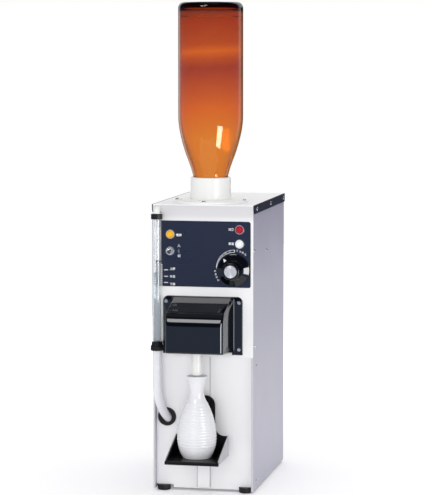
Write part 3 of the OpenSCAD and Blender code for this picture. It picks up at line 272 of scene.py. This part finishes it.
def makePiece(name, points, finish, body="casing", closed=True, stands=(), sharp=38):
    # a grid of points joined into one skin, closed across its columns or open; a row in one place is a pole
    rows, columns = points.shape[:2]
    u = np.arange(rows - 1)[:, None]
    v = np.arange(columns if closed else columns - 1)[None, :]
    here, below, nextV = u * columns, (u + 1) * columns, (v + 1) % columns
    corners = np.stack([here + v, below + v, below + nextV, here + nextV], -1)
    mesh = bpy.data.meshes.new(name)
    mesh.from_pydata(points.reshape(-1, 3).tolist(), [], corners.reshape(-1, 4).tolist())
    skin = bmesh.new()
    skin.from_mesh(mesh)
    bmesh.ops.remove_doubles(skin, verts=skin.verts, dist=1e-6)
    bmesh.ops.recalc_face_normals(skin, faces=skin.faces)
    skin.to_mesh(mesh)
    skin.free()
    mesh.shade_smooth()
    mesh.set_sharp_from_angle(angle=math.radians(sharp))
    return placePiece(bpy.data.objects.new(name, mesh), finish, body, stands)


def placePiece(obj, finish, body, stands=()):
    scene.collection.objects.link(obj)
    paint(obj, finish)
    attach(obj, body)
    if stands:
        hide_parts(*stands)
    return obj


def thicken(piece, name, thickness):
    # a skin gets its wall on the inner side
    wall = piece.modifiers.new(name, "SOLIDIFY")
    wall.thickness = thickness
    wall.offset = -1


def smoothLine(points, steps):
    # a Catmull-Rom curve: each span is a cubic through its two ends, with slopes from their neighbours
    p = np.array(points, float)
    padded = np.vstack([p[:1], p, p[-1:]])
    t = (np.arange(steps) / steps)[None, :, None]
    a, b, c, d = (padded[i:len(p) - 1 + i, None, :] for i in range(4))
    bend, twist = 2 * a - 5 * b + 4 * c - d, 3 * b - a - 3 * c + d
    curve = 0.5 * (2 * b + (c - a) * t + bend * t ** 2 + twist * t ** 3)
    return np.vstack([curve.reshape(-1, p.shape[1]), p[-1:]])


def turned(profile, centre, steps=128, outward=False):
    # radius and height pairs turned round an upright axis, or round one that comes out of the fascia
    angle = np.linspace(0, 2 * np.pi, steps, endpoint=False)
    radius, height = np.array(profile, float).T
    across, other = radius[:, None] * np.cos(angle), radius[:, None] * np.sin(angle)
    along = np.repeat(height[:, None], steps, 1)
    points = np.stack([across, -along, other] if outward else [across, other, along], -1)
    return points + np.array(centre)


def arc(centre, radius, start, end, steps):
    # points on a circle, its angles in degrees
    angle = np.radians(np.linspace(start, end, steps))
    return np.stack([centre[0] + radius * np.cos(angle), centre[1] + radius * np.sin(angle)], -1)


bottle = {"centre": (0, 0.062 + frontY, 0.398), "height": 0.396, "radius": 0.0527, "heel": 0.009,
          "innerHeel": 0.007, "level": 0.372, "dashes": 64, "dashHeight": 0.0003, "dashLength": 0.0012,
          "dashDrop": 0.004}
# radius and height from the straight side down to the neck, in millimetres
shoulder = np.array([(52.7, 214), (52.4, 203), (50.6, 189), (47.2, 173), (42.4, 156), (39.0, 146),
                     (35.2, 136), (31.1, 124), (28, 112), (24.2, 96), (19.8, 76), (16.8, 51),
                     (15.2, 24)]) / 1000


def bottleOutline(gap):
    return smoothLine(shoulder, 8) - (gap, 0)


def makeBottle():
    # an outline turned round its axis: base, heel, side, shoulder and mouth, then back up the inside
    tall, wide, wall = bottle["height"], bottle["radius"], glass["wall"]
    heel, inner = bottle["heel"], bottle["innerHeel"]
    base = smoothLine([(0, tall - 0.003), (0.015, tall - 0.0028), (0.03, tall - 0.002),
                       (wide - heel - 0.003, tall - 0.0006)], 6)
    heelCurve = arc((wide - heel, tall - heel), heel, 88, 0, 14)
    straight = np.linspace((wide, tall - heel - 0.0005), shoulder[0] + (0, 0.0005), 70)
    neck = np.array([(15.2, 8), (16.3, 7.9), (16.6, 7.2), (16.6, 1), (16.3, 0.3), (15.6, 0), (12.4, 0),
                     (12.0, 0.6)]) / 1000
    inside = bottleOutline(wall)[::-1]
    top = arc((wide - wall - inner, tall - heel - inner), inner, 0, 85, 10)
    profile = np.vstack([base, heelCurve, straight, bottleOutline(0), neck, inside, top,
                         [(0.02, tall - heel - 0.0012), (0, tall - heel - 0.003)]])
    points = turned(profile, (0, 0, 0), 256)
    # short raised dashes stand round the outside, where a cosine of the angle is high
    angle = np.arctan2(points[..., 1], points[..., 0])
    below = tall - heel - bottle["dashDrop"] - points[..., 2]
    outer = np.arange(len(profile)) < len(base) + len(heelCurve) + len(straight)
    dashes = outer[:, None] * (np.cos(bottle["dashes"] * angle) > 0.2)
    rise = bottle["dashHeight"] * np.exp(-(below / bottle["dashLength"]) ** 2) * dashes
    points[..., :2] *= (1 + rise / wide)[..., None]
    makePiece("bottleGlass", points + np.array(bottle["centre"]), "bottle_amber", "bottle", stands=["bottle"])


def makeSake():
    # the level with its turned-up rim, then down inside the glass to the plug
    gap = glass["wall"] + 0.0001   # a hair inside the glass
    level, inner, plugTop, plugRadius = bottle["level"], bottle["radius"] - gap, 0.014, 0.0119
    meniscus = [(0, level), (inner - 0.004, level), (inner - 0.0015, level + 0.0004), (inner, level + 0.0012)]
    profile = np.vstack([meniscus, bottleOutline(gap), [(plugRadius, plugTop), (0, plugTop)]])
    makePiece("sakeInBottle", turned(profile, bottle["centre"]), "sake", "bottle", stands=["bottle_sake"])


makeBottle()
makeSake()
print("bottle made")

flask = {"centre": (0, -0.047 + frontY, 0.067), "ribStart": 0.018, "ribPitch": 0.0048, "ribs": 15,
         "ribDepth": 0.0006, "lines": (0.1225, 0.1265), "lineDepth": 0.00022, "lineWidth": 0.0006}
flaskLine = smoothLine(np.array([(22.5, 0), (27, 8.7), (29.8, 17.5), (31.2, 28.2), (31.1, 38.9), (29.4, 53),
                                 (26.4, 65.6), (22.7, 76.2), (18, 87), (13.4, 95.7), (11.4, 104), (12.2, 115),
                                 (14.6, 125), (17.5, 132)]) / 1000, 12)


def makeFlask():
    # an outline turned round its axis: recessed foot, ribbed outside, rolled lip, then down the inside
    height = np.arange(0, 0.1312, 0.0004)
    radius = np.interp(height, flaskLine[:, 1], flaskLine[:, 0])
    turn = (height - flask["ribStart"]) / flask["ribPitch"]
    ribbed = (turn > 0) & (turn < flask["ribs"])
    # throwing rings are rounded bands that meet in narrow grooves: a sine without its sign, drawn flatter
    radius += np.where(ribbed, flask["ribDepth"] * (np.abs(np.sin(np.pi * turn)) ** 0.7 - 0.5), 0)
    for line in flask["lines"]:
        radius -= flask["lineDepth"] * np.exp(-((height - line) / flask["lineWidth"]) ** 2)
    outside = np.stack([radius, height], -1)
    lip = arc((0.0161, 0.1309), 0.0012, 20, 170, 8)
    inside = smoothLine(np.array([(12.5, 122), (9.4, 114), (8.6, 104), (10.6, 95.7), (15.2, 87), (19.9, 76.2),
                                  (26.4, 53), (28.1, 38.9), (26.8, 17.5), (23.5, 8.7), (16, 5.5), (0, 5)])
                        / 1000, 5)
    foot = [(0, 0.0012), (0.0175, 0.0012), (0.0182, 0.0009), (0.019, 0.0002), (0.0198, 0), (0.0218, 0)]
    profile = np.vstack([foot, outside[1:], lip, inside])
    makePiece("flaskGlazed", turned(profile, flask["centre"], 112), "flask_glaze", "flask", stands=["flask"])


makeFlask()
print("flask made")

hood = {"reach": 0.073, "front": 0.0472, "back": 0.0507, "wall": 0.0025, "slope": 18, "nose": 0.025,
        "top": 0.321, "start": 0.0035, "corner": 0.0065, "edge": 0.0013, "fillet": 0.0022, "plate": 0.003,
        "bottom": 0.2375, "fallFrom": 0.262, "fall": 0.0055}


def hoodSide():
    # the side view from the flange's top down the slope, round the nose and down the front: reach and height,
    # with the rows where the nose starts and where it ends
    lean = math.radians(hood["slope"])
    noseY = hood["reach"] - hood["nose"]
    noseZ = hood["top"] - noseY * math.tan(lean) - hood["nose"] / math.cos(lean)
    startZ = hood["top"] - hood["start"] * math.tan(lean)
    noseCurve = arc((noseY, noseZ), hood["nose"], 90 - hood["slope"], 0, 20)
    slope = np.linspace((hood["start"], startZ), noseCurve[0], 26)[:-1]
    front = np.linspace(noseCurve[-1], (hood["reach"], hood["bottom"]), 20)[1:]
    return np.vstack([slope, noseCurve, front]), len(slope), len(slope) + len(noseCurve) - 1


def makeHood():
    # the side view gives the rows, and each row runs across the hood from flange to flange
    side, noseStart, noseEnd = hoodSide()
    reach, height = side[:, :1], side[:, 1:]
    plate = hood["plate"] - 0.0002   # a hair inside the flange's face
    most = 0.45 * np.maximum(reach - plate, 0)   # neither curve takes more of a side wall than this
    # round the nose the edge beside the slope widens into the corner beside the front
    share = np.clip((height[noseStart] - height) / (height[noseStart] - height[noseEnd]), 0, 1)
    cornerX = hood["edge"] + (hood["corner"] - hood["edge"]) * share
    slant = hood["edge"] / math.tan(math.radians(hood["slope"]))
    cornerY = np.minimum(slant + (hood["corner"] - slant) * share, most)
    fillet = np.minimum(hood["fillet"], most)
    # one half across: flat front, rounded corner, side wall and the hollow curve into the flange
    flat = np.linspace(0, 1, 7)[None, :-1]
    bend = np.radians(np.linspace(0, 90, 11))[None, :]
    wallShare = np.linspace(0, 1, 8)[None, 1:-1]
    flatEnd = hood["front"] - cornerX
    cornerD = reach - cornerY
    low = plate + fillet
    wide = hood["back"] - (hood["back"] - hood["front"]) * low / hood["reach"]
    x = np.hstack([flat * flatEnd, flatEnd + cornerX * np.sin(bend),
                   hood["front"] + (wide - hood["front"]) * wallShare, wide + fillet * (1 - np.cos(bend))])
    depth = np.hstack([np.repeat(reach, flat.shape[1], 1), cornerD + cornerY * np.cos(bend),
                       cornerD + (low - cornerD) * wallShare, low - fillet * np.sin(bend)])
    # the lower edge falls towards the fascia
    lowest = np.clip((hood["fallFrom"] - height) / (hood["fallFrom"] - hood["bottom"]), 0, 1) ** 1.5
    z = height - lowest * hood["fall"] * (1 - depth / hood["reach"])
    half = np.stack([x, frontY - depth, np.broadcast_to(z, x.shape)], -1)
    other = half[:, :0:-1] * (-1, 1, 1)
    piece = makePiece("hoodShell", np.concatenate([other, half], 1), "black_gloss", closed=False,
                      stands=["hood"], sharp=60)
    inTheHood = Vector((0, frontY - 0.02, 0.27))
    faceOutwards(piece, inTheHood)
    thicken(piece, "wall", hood["wall"])


def faceOutwards(piece, middle):
    # an open shell has no inside of its own, so most of its faces are made to look away from its middle
    skin = bmesh.new()
    skin.from_mesh(piece.data)
    away = sum((face.calc_center_median() - middle).dot(face.normal) * face.calc_area()
               for face in skin.faces)
    if away < 0:
        bmesh.ops.reverse_faces(skin, faces=skin.faces)
    skin.to_mesh(piece.data)
    skin.free()


flange = {"wide": 0.0655, "low": 0.2275, "top": 0.3215, "corner": 0.009, "inner": 0.0484, "innerTop": 0.3125,
          "thick": 0.003, "edge": 0.0009}


def makeFlange():
    # an upside-down U that frames the hood: a section with a rounded outer edge carried along its outline
    wide, low, top, corner = flange["wide"], flange["low"], flange["top"], flange["corner"]
    joint = 0.001   # the straights start this far from an end or a corner
    outline = np.vstack([[(-wide, low)], np.linspace((-wide, low + joint), (-wide, top - corner), 12),
                         arc((-wide + corner, top - corner), corner, 180, 90, 10)[1:],
                         np.linspace((-wide + corner + joint, top), (wide - corner - joint, top), 24),
                         arc((wide - corner, top - corner), corner, 90, 0, 10)[:-1],
                         np.linspace((wide, top - corner), (wide, low + joint), 12), [(wide, low)]])
    within = np.stack([np.clip(outline[:, 0], -flange["inner"], flange["inner"]),
                       np.minimum(outline[:, 1], flange["innerTop"])], -1)
    towards = within - outline
    towards /= np.linalg.norm(towards, axis=1)[:, None]
    # each ring of the section: its share of the edge's way in from the outline, and how far out it stands
    rings = [np.column_stack([outline + towards * flange["edge"] * share, np.full(len(outline), out)])
             for share, out in ((0, 0), (0, 0.0021), (0.3, 0.0027), (1, flange["thick"]))]
    rings += [np.column_stack([within, np.full(len(outline), out)]) for out in (flange["thick"], 0)]
    grid = np.stack(rings, 1)
    points = np.stack([grid[..., 0], frontY - grid[..., 2], grid[..., 1]], -1)
    closeEnds(makePiece("hoodFlange", points, "black_gloss", stands=["hood"], sharp=40))


def closeEnds(piece):
    skin = bmesh.new()
    skin.from_mesh(piece.data)
    bmesh.ops.holes_fill(skin, edges=[edge for edge in skin.edges if edge.is_boundary], sides=0)
    bmesh.ops.recalc_face_normals(skin, faces=skin.faces)
    skin.to_mesh(piece.data)
    skin.free()


makeHood()
makeFlange()
print("hood made")

dial = {"centre": (0.051, frontY - 0.0016, 0.365), "skirt": 0.026, "hub": 0.0155, "height": 0.029,
        "cap": 0.01, "slope": 31, "hollow": 0.0032, "crown": 0.0016, "spinPitch": 0.00045,
        "spinDepth": 0.00003}


def makeDial():
    # the knob is an outline turned round the dial's axis: flat back, skirt, cone, hollow, hub and crown
    skirt, hub, tall, cap = dial["skirt"], dial["hub"], dial["height"], dial["cap"]
    coneTop = 0.0026 + (skirt - hub - 0.002) * math.tan(math.radians(dial["slope"]))
    cone = np.linspace((skirt - 0.0006, 0.00265), (hub + 0.0017, coneTop - 0.0001), 10)
    hollow = arc((hub + dial["hollow"], coneTop + 0.0028), dial["hollow"], -90 - dial["slope"], -180, 9)
    side = np.linspace(hollow[-1], (hub - 0.0016, tall - 0.0026), 12)[1:]
    crown = arc((hub - 0.0032, tall - 0.0022), dial["crown"], 0, 90, 8)
    profile = np.vstack([[(0, 0), (skirt - 0.0008, 0), (skirt - 0.0002, 0.0003), (skirt, 0.0009),
                          (skirt, 0.0021), (skirt - 0.0002, 0.0025)], cone, hollow, side, crown,
                         [(cap + 0.0002, tall - 0.0006), (cap + 0.0001, tall - 0.0014), (0, tall - 0.0014)]])
    makePiece("dialKnob", turned(profile, dial["centre"], 160, outward=True), "black_gloss", "dial",
              stands=["dial_knob"])
    # the cap's face is spun: fine rings round a shallow middle
    radius = np.linspace(0, cap - 0.0004, 150)
    rings = dial["spinDepth"] * np.sin(radius / dial["spinPitch"] * 2 * np.pi)
    face = tall + 0.0002 + rings - 0.0003 * (1 - radius / cap) ** 2
    profile = np.vstack([np.stack([radius, face], -1), [(cap - 0.0001, tall + 0.0001), (cap, tall - 0.0003),
                                                        (cap, tall - 0.0013), (0, tall - 0.0013)]])
    makePiece("dialCap", turned(profile, dial["centre"], 96, outward=True), "cap_aluminium", "dial",
              stands=["dial_cap"])


makeDial()
print("dial made")

printing = {"face": frontY - 0.001, "thick": 0.00008, "letter": 0.0046, "signLetter": 0.0040, "bold": 0.025,
            "scale": 0.0284, "wedge": 0.0040, "scaleStart": -88, "scaleEnd": 2, "line": 0.0006}


def placePrint(name, mesh, finish="print_white", slot="white_plastic"):
    # ink stands a hair proud of the plate
    obj = placePiece(bpy.data.objects.new(name, mesh), finish, "casing")
    thicken(obj, "ink", printing["thick"])


def flatPiece(name, faces, **look):
    # faces: lists of (x, z) corners, laid just in front of the plate and given a hair of thickness
    mesh = bpy.data.meshes.new(name)
    corners = [(x, printing["face"] - printing["thick"], z) for face in faces for x, z in face]
    starts = np.cumsum([0] + [len(face) for face in faces])
    mesh.from_pydata(corners, [], [list(range(a, b)) for a, b in zip(starts[:-1], starts[1:])])
    skin = bmesh.new()
    skin.from_mesh(mesh)
    bmesh.ops.remove_doubles(skin, verts=skin.verts, dist=1e-6)
    for face in skin.faces:
        if face.normal.y > 0:
            face.normal_flip()
    skin.to_mesh(mesh)
    skin.free()
    placePrint(name, mesh, **look)


def ribbon(path, width):
    # quads along a path of (x, z) points, half the width to each side
    path = np.array(path, float)
    run = np.gradient(path, axis=0)
    normal = np.stack([-run[:, 1], run[:, 0]], -1)
    normal /= np.linalg.norm(normal, axis=1)[:, None]
    left, right = path + normal * width / 2, path - normal * width / 2
    return [[left[i], left[i + 1], right[i + 1], right[i]] for i in range(len(path) - 1)]


def onDial(angle, radius):
    # a point round the dial, its angle in degrees to the right of straight up
    turn = np.radians(angle)
    x, _, z = dial["centre"]
    return np.stack([x + radius * np.sin(turn), z + radius * np.cos(turn)], -1)


def scaleEdge(angle):
    # the scale's band is a wedge that opens from the left round to the top: the radius of its outer edge
    share = (np.asarray(angle) - printing["scaleStart"]) / (printing["scaleEnd"] - printing["scaleStart"])
    return printing["scale"] + printing["wedge"] * np.clip(share, 0, 1) ** 0.8


def makePlatePrint():
    inner, last = printing["scale"], printing["scaleEnd"]
    angle = np.linspace(printing["scaleStart"], last, 46)
    faces = ribbon(onDial(angle, inner), printing["line"]) + ribbon(onDial(angle, scaleEdge(angle)),
                                                                    printing["line"])
    for mark in (-72, -56, -40, -26, -12, last):
        faces += ribbon(onDial(np.array([mark, mark]), np.array([inner, scaleEdge(mark)])),
                        0.0007 if mark < last else 0.001)
    for height in (0.363, 0.3525, 0.3425):
        faces += ribbon([(-0.0640, height), (-0.0575, height)], 0.0011)
    # the fine mark between on and off
    faces += ribbon([(-0.0393, 0.3975), (-0.0393, 0.3905)], 0.0003)
    faces += ribbon([(-0.0415, 0.394), (-0.0401, 0.394)], 0.0003)
    flatPiece("platePrint", faces)


backing = {"left": -0.0782, "right": -0.0700, "low": 0.3780, "high": 0.4428, "chevrons": 10, "first": 0.3375,
           "pitch": 0.0037, "width": 0.0017}


def makeGaugeBacking():
    # behind the sight tube a pale strip stands above white chevrons
    left, right, low, high = (backing[side] for side in ("left", "right", "low", "high"))
    flatPiece("gaugeBacking", [[(left, low), (right, low), (right, high), (left, high)]],
              finish="steel_front", slot="steel_front")
    chevrons = []
    for i in range(backing["chevrons"]):
        height = backing["first"] + i * backing["pitch"]
        chevrons += ribbon([(-0.0780, height), (-0.0735, height + 0.0040), (-0.0668, height - 0.0002)],
                           backing["width"])
    flatPiece("gaugeChevrons", chevrons)


def word(name, text, x, z, size, turn=0.0):
    # a word made of flat letters, centred on (x, z) and turned clockwise by degrees
    curve = bpy.data.curves.new(name, "FONT")
    curve.body = text
    curve.size = size
    curve.align_x = curve.align_y = "CENTER"
    curve.offset = size * printing["bold"]
    writer = bpy.data.objects.new(name + "Curve", curve)
    scene.collection.objects.link(writer)
    bpy.context.view_layer.update()
    mesh = bpy.data.meshes.new_from_object(writer)
    mesh.name = name
    bpy.data.objects.remove(writer)
    bpy.data.curves.remove(curve)
    upright = Matrix.Rotation(math.radians(90), 4, "X") @ Matrix.Rotation(math.radians(-turn), 4, "Z")
    mesh.transform(Matrix.Translation((x, printing["face"] - printing["thick"], z)) @ upright)
    placePrint(name, mesh)


def makeWords():
    for name, text, x, z in (("wordPower", "電源", -0.0395, 0.4195), ("wordHeat", "加熱", 0.0467, 0.430),
                             ("wordWarm", "保温", 0.0467, 0.407), ("wordHigh", "上限", -0.0500, 0.3646),
                             ("wordWater", "水位", -0.0500, 0.3523), ("wordLow", "下限", -0.0500, 0.3396)):
        word(name, text, x, z, printing["letter"])
    word("wordOn", "入", -0.0393, 0.4022, 0.0050)
    word("wordOff", "切", -0.0391, 0.3858, 0.0050)
    # letters one by one round the dial, from an angle on; those on the left read downwards
    for name, text, first, pitch, radius, lean in (("wordHot", "あつかん", 10, 8.8, 0.0315, 0),
                                                   ("wordTepid", "ぬるかん", -95, -9.4, 0.0305, 90)):
        for i, sign in enumerate(text):
            angle = first + i * pitch
            x, z = onDial(angle, radius)
            word(name + str(i + 1), sign, x, z, printing["signLetter"], angle + lean)


makePlatePrint()
makeGaugeBacking()
makeWords()
print("print made")

gauge = {"centre": (-0.0735, -0.0115 + frontY, 0), "bore": 0.0053, "low": 0.2425, "level": 0.3575}


def makeGaugeWater():
    # the tube's bore filled up to its level, which rises a little at the wall
    bore, low, level = gauge["bore"], gauge["low"], gauge["level"]
    profile = [(0, low), (bore, low), (bore, low + 0.001), (bore, level + 0.001),
               (bore - 0.0007, level + 0.0003), (bore - 0.002, level), (0, level - 0.0001)]
    makePiece("gaugeWater", turned(profile, gauge["centre"], 48), "water")


makeGaugeWater()
print("gauge filled")

studio = {"ambient": 0.80, "room": (0.02, 0.024, 0.034), "table": (0.32, 0.40, 0.58),
          "sky": (0.15, 0.15, 0.16), "card": (0.04, 0.04, 0.045), "horizon": (-0.03, 0.03),
          "overhead": (0.9, 0.96), "behind": (0.55, 0.75), "cardSide": (0.6, 0.5), "cardTop": (0.07, 0.03),
          "cardBehind": (0.5, 0.7)}


def makeWorld():
    # the camera and what shows through glass see white, and soft light of one strength reaches plain
    # surfaces; polished ones see white behind the object, and in front a table with a dark room above it and
    # some light overhead
    world = bpy.data.worlds.new("studio")
    scene.world = world
    world.use_nodes = True
    tree = world.node_tree
    tree.nodes.clear()
    path = addNode(tree, "ShaderNodeLightPath").outputs
    right, back, up = axes(tree, addNode(tree, "ShaderNodeTexCoord").outputs["Generated"])
    white = (1, 1, 1, 1)
    room, table, sky, card = (studio[name] + (1,) for name in ("room", "table", "sky", "card"))
    front = mixColours(tree, step(tree, up, *studio["horizon"]), table, room)
    front = mixColours(tree, step(tree, up, *studio["overhead"]), front, sky)
    around = mixColours(tree, step(tree, back, *studio["behind"]), front, white)
    # a dark card stands low behind the object, and only reflections at a glancing angle show it
    aside = maths(tree, "ABSOLUTE", right)
    hidden = step(tree, aside, *studio["cardSide"])
    for axis, limits in ((up, studio["cardTop"]), (back, studio["cardBehind"])):
        hidden = maths(tree, "MULTIPLY", hidden, step(tree, axis, *limits))
    around = mixColours(tree, hidden, around, card)
    ambient = (studio["ambient"],) * 3 + (1,)
    shown = mixColours(tree, path["Is Glossy Ray"], ambient, around)
    shown = mixColours(tree, path["Is Transmission Ray"], shown, white)
    shown = mixColours(tree, path["Is Camera Ray"], shown, white)
    light = addNode(tree, "ShaderNodeBackground", {"Color": shown, "Strength": 1.0})
    output = addNode(tree, "ShaderNodeOutputWorld")
    tree.links.new(light.outputs[0], output.inputs["Surface"])


paper = {"colour": (246, 246, 247), "left": -0.6, "right": 0.5, "near": -1.1, "far": 6.0, "nearGlow": 0.22,
         "farGlow": 0.6, "fade": (0.25, 1.4)}


def makeFloor():
    mesh = bpy.data.meshes.new("floor")
    left, right, near, far = (paper[side] for side in ("left", "right", "near", "far"))
    mesh.from_pydata([(left, near, 0), (right, near, 0), (right, far, 0), (left, far, 0)], [], [(0, 1, 2, 3)])
    floor = bpy.data.objects.new("floor", mesh)
    scene.collection.objects.link(floor)
    material = bpy.data.materials.new("floorPaper")
    material.use_nodes = True
    tree = material.node_tree
    shader = tree.nodes["Principled BSDF"]
    shader.inputs["Base Color"].default_value = linear(*paper["colour"])
    shader.inputs["Roughness"].default_value = 0.9
    shader.inputs["Emission Color"].default_value = (1, 1, 1, 1)
    # for the camera the paper runs out into the white background, and keeps the shadow round the object
    place = addNode(tree, "ShaderNodeTexCoord").outputs["Object"]
    away = addNode(tree, "ShaderNodeVectorMath", {0: place}, operation="LENGTH").outputs["Value"]
    glow = spread(tree, step(tree, away, *paper["fade"]), paper["nearGlow"], paper["farGlow"], 0.0, 1.0)
    glow = maths(tree, "MULTIPLY", addNode(tree, "ShaderNodeLightPath").outputs["Is Camera Ray"], glow)
    tree.links.new(glow, shader.inputs["Emission Strength"])
    mesh.materials.append(material)


# place, target, width and height, brightness, and the surfaces that see the lamp
lamps = {"frontFill": ((0.3, -3.2, 0.6), (0, 0, 0.35), (1.6, 1.2), 4.6, "plain"),
         "topFill": ((0.2, 0.5, 2.6), (0, 0, 0.4), (1.6, 1.6), 0.9, "plain"),
         "bandCard": ((-0.386, -1.527, 1.574), (0, -0.18, 0.29), (0.7, 0.8), 6.0, "polished"),
         "windowCard": ((0.470, -0.505, 0.285), (0.05, -0.12, 0.28), (0.22, 0.28), 13.0, "polished")}


def softbox(name, place, target, size, brightness, seenIn):
    # an area lamp that faces the target; its power follows from its brightness and size
    lamp = bpy.data.lights.new(name, "AREA")
    lamp.shape = "RECTANGLE"
    lamp.size, lamp.size_y = size
    lamp.energy = brightness * math.pi * size[0] * size[1]
    obj = bpy.data.objects.new(name, lamp)
    obj.location = place
    obj.rotation_euler = (Vector(target) - Vector(place)).to_track_quat("-Z", "Y").to_euler()
    # a fill lights plain surfaces, and a card only shows in polished ones
    obj.visible_camera = False
    obj.visible_diffuse = seenIn == "plain"
    obj.visible_glossy = obj.visible_transmission = seenIn == "polished"
    scene.collection.objects.link(obj)


for lampName, values in lamps.items():
    softbox(lampName, *values)
makeWorld()
makeFloor()
print("studio lit")

view = {"lens": 161.5, "place": (0.739, -3.586, 0.746), "down": 5.55, "left": 11.61}


def makeCamera():
    camera = bpy.data.cameras.new("camera")
    camera.lens = view["lens"]
    camera.sensor_width = 36
    camera.clip_end = 30
    cameraObject = bpy.data.objects.new("camera", camera)
    cameraObject.location = view["place"]
    cameraObject.rotation_euler = (math.radians(90 - view["down"]), 0, math.radians(view["left"]))
    scene.collection.objects.link(cameraObject)
    scene.camera = cameraObject


makeCamera()
scene.view_settings.view_transform = "Standard"
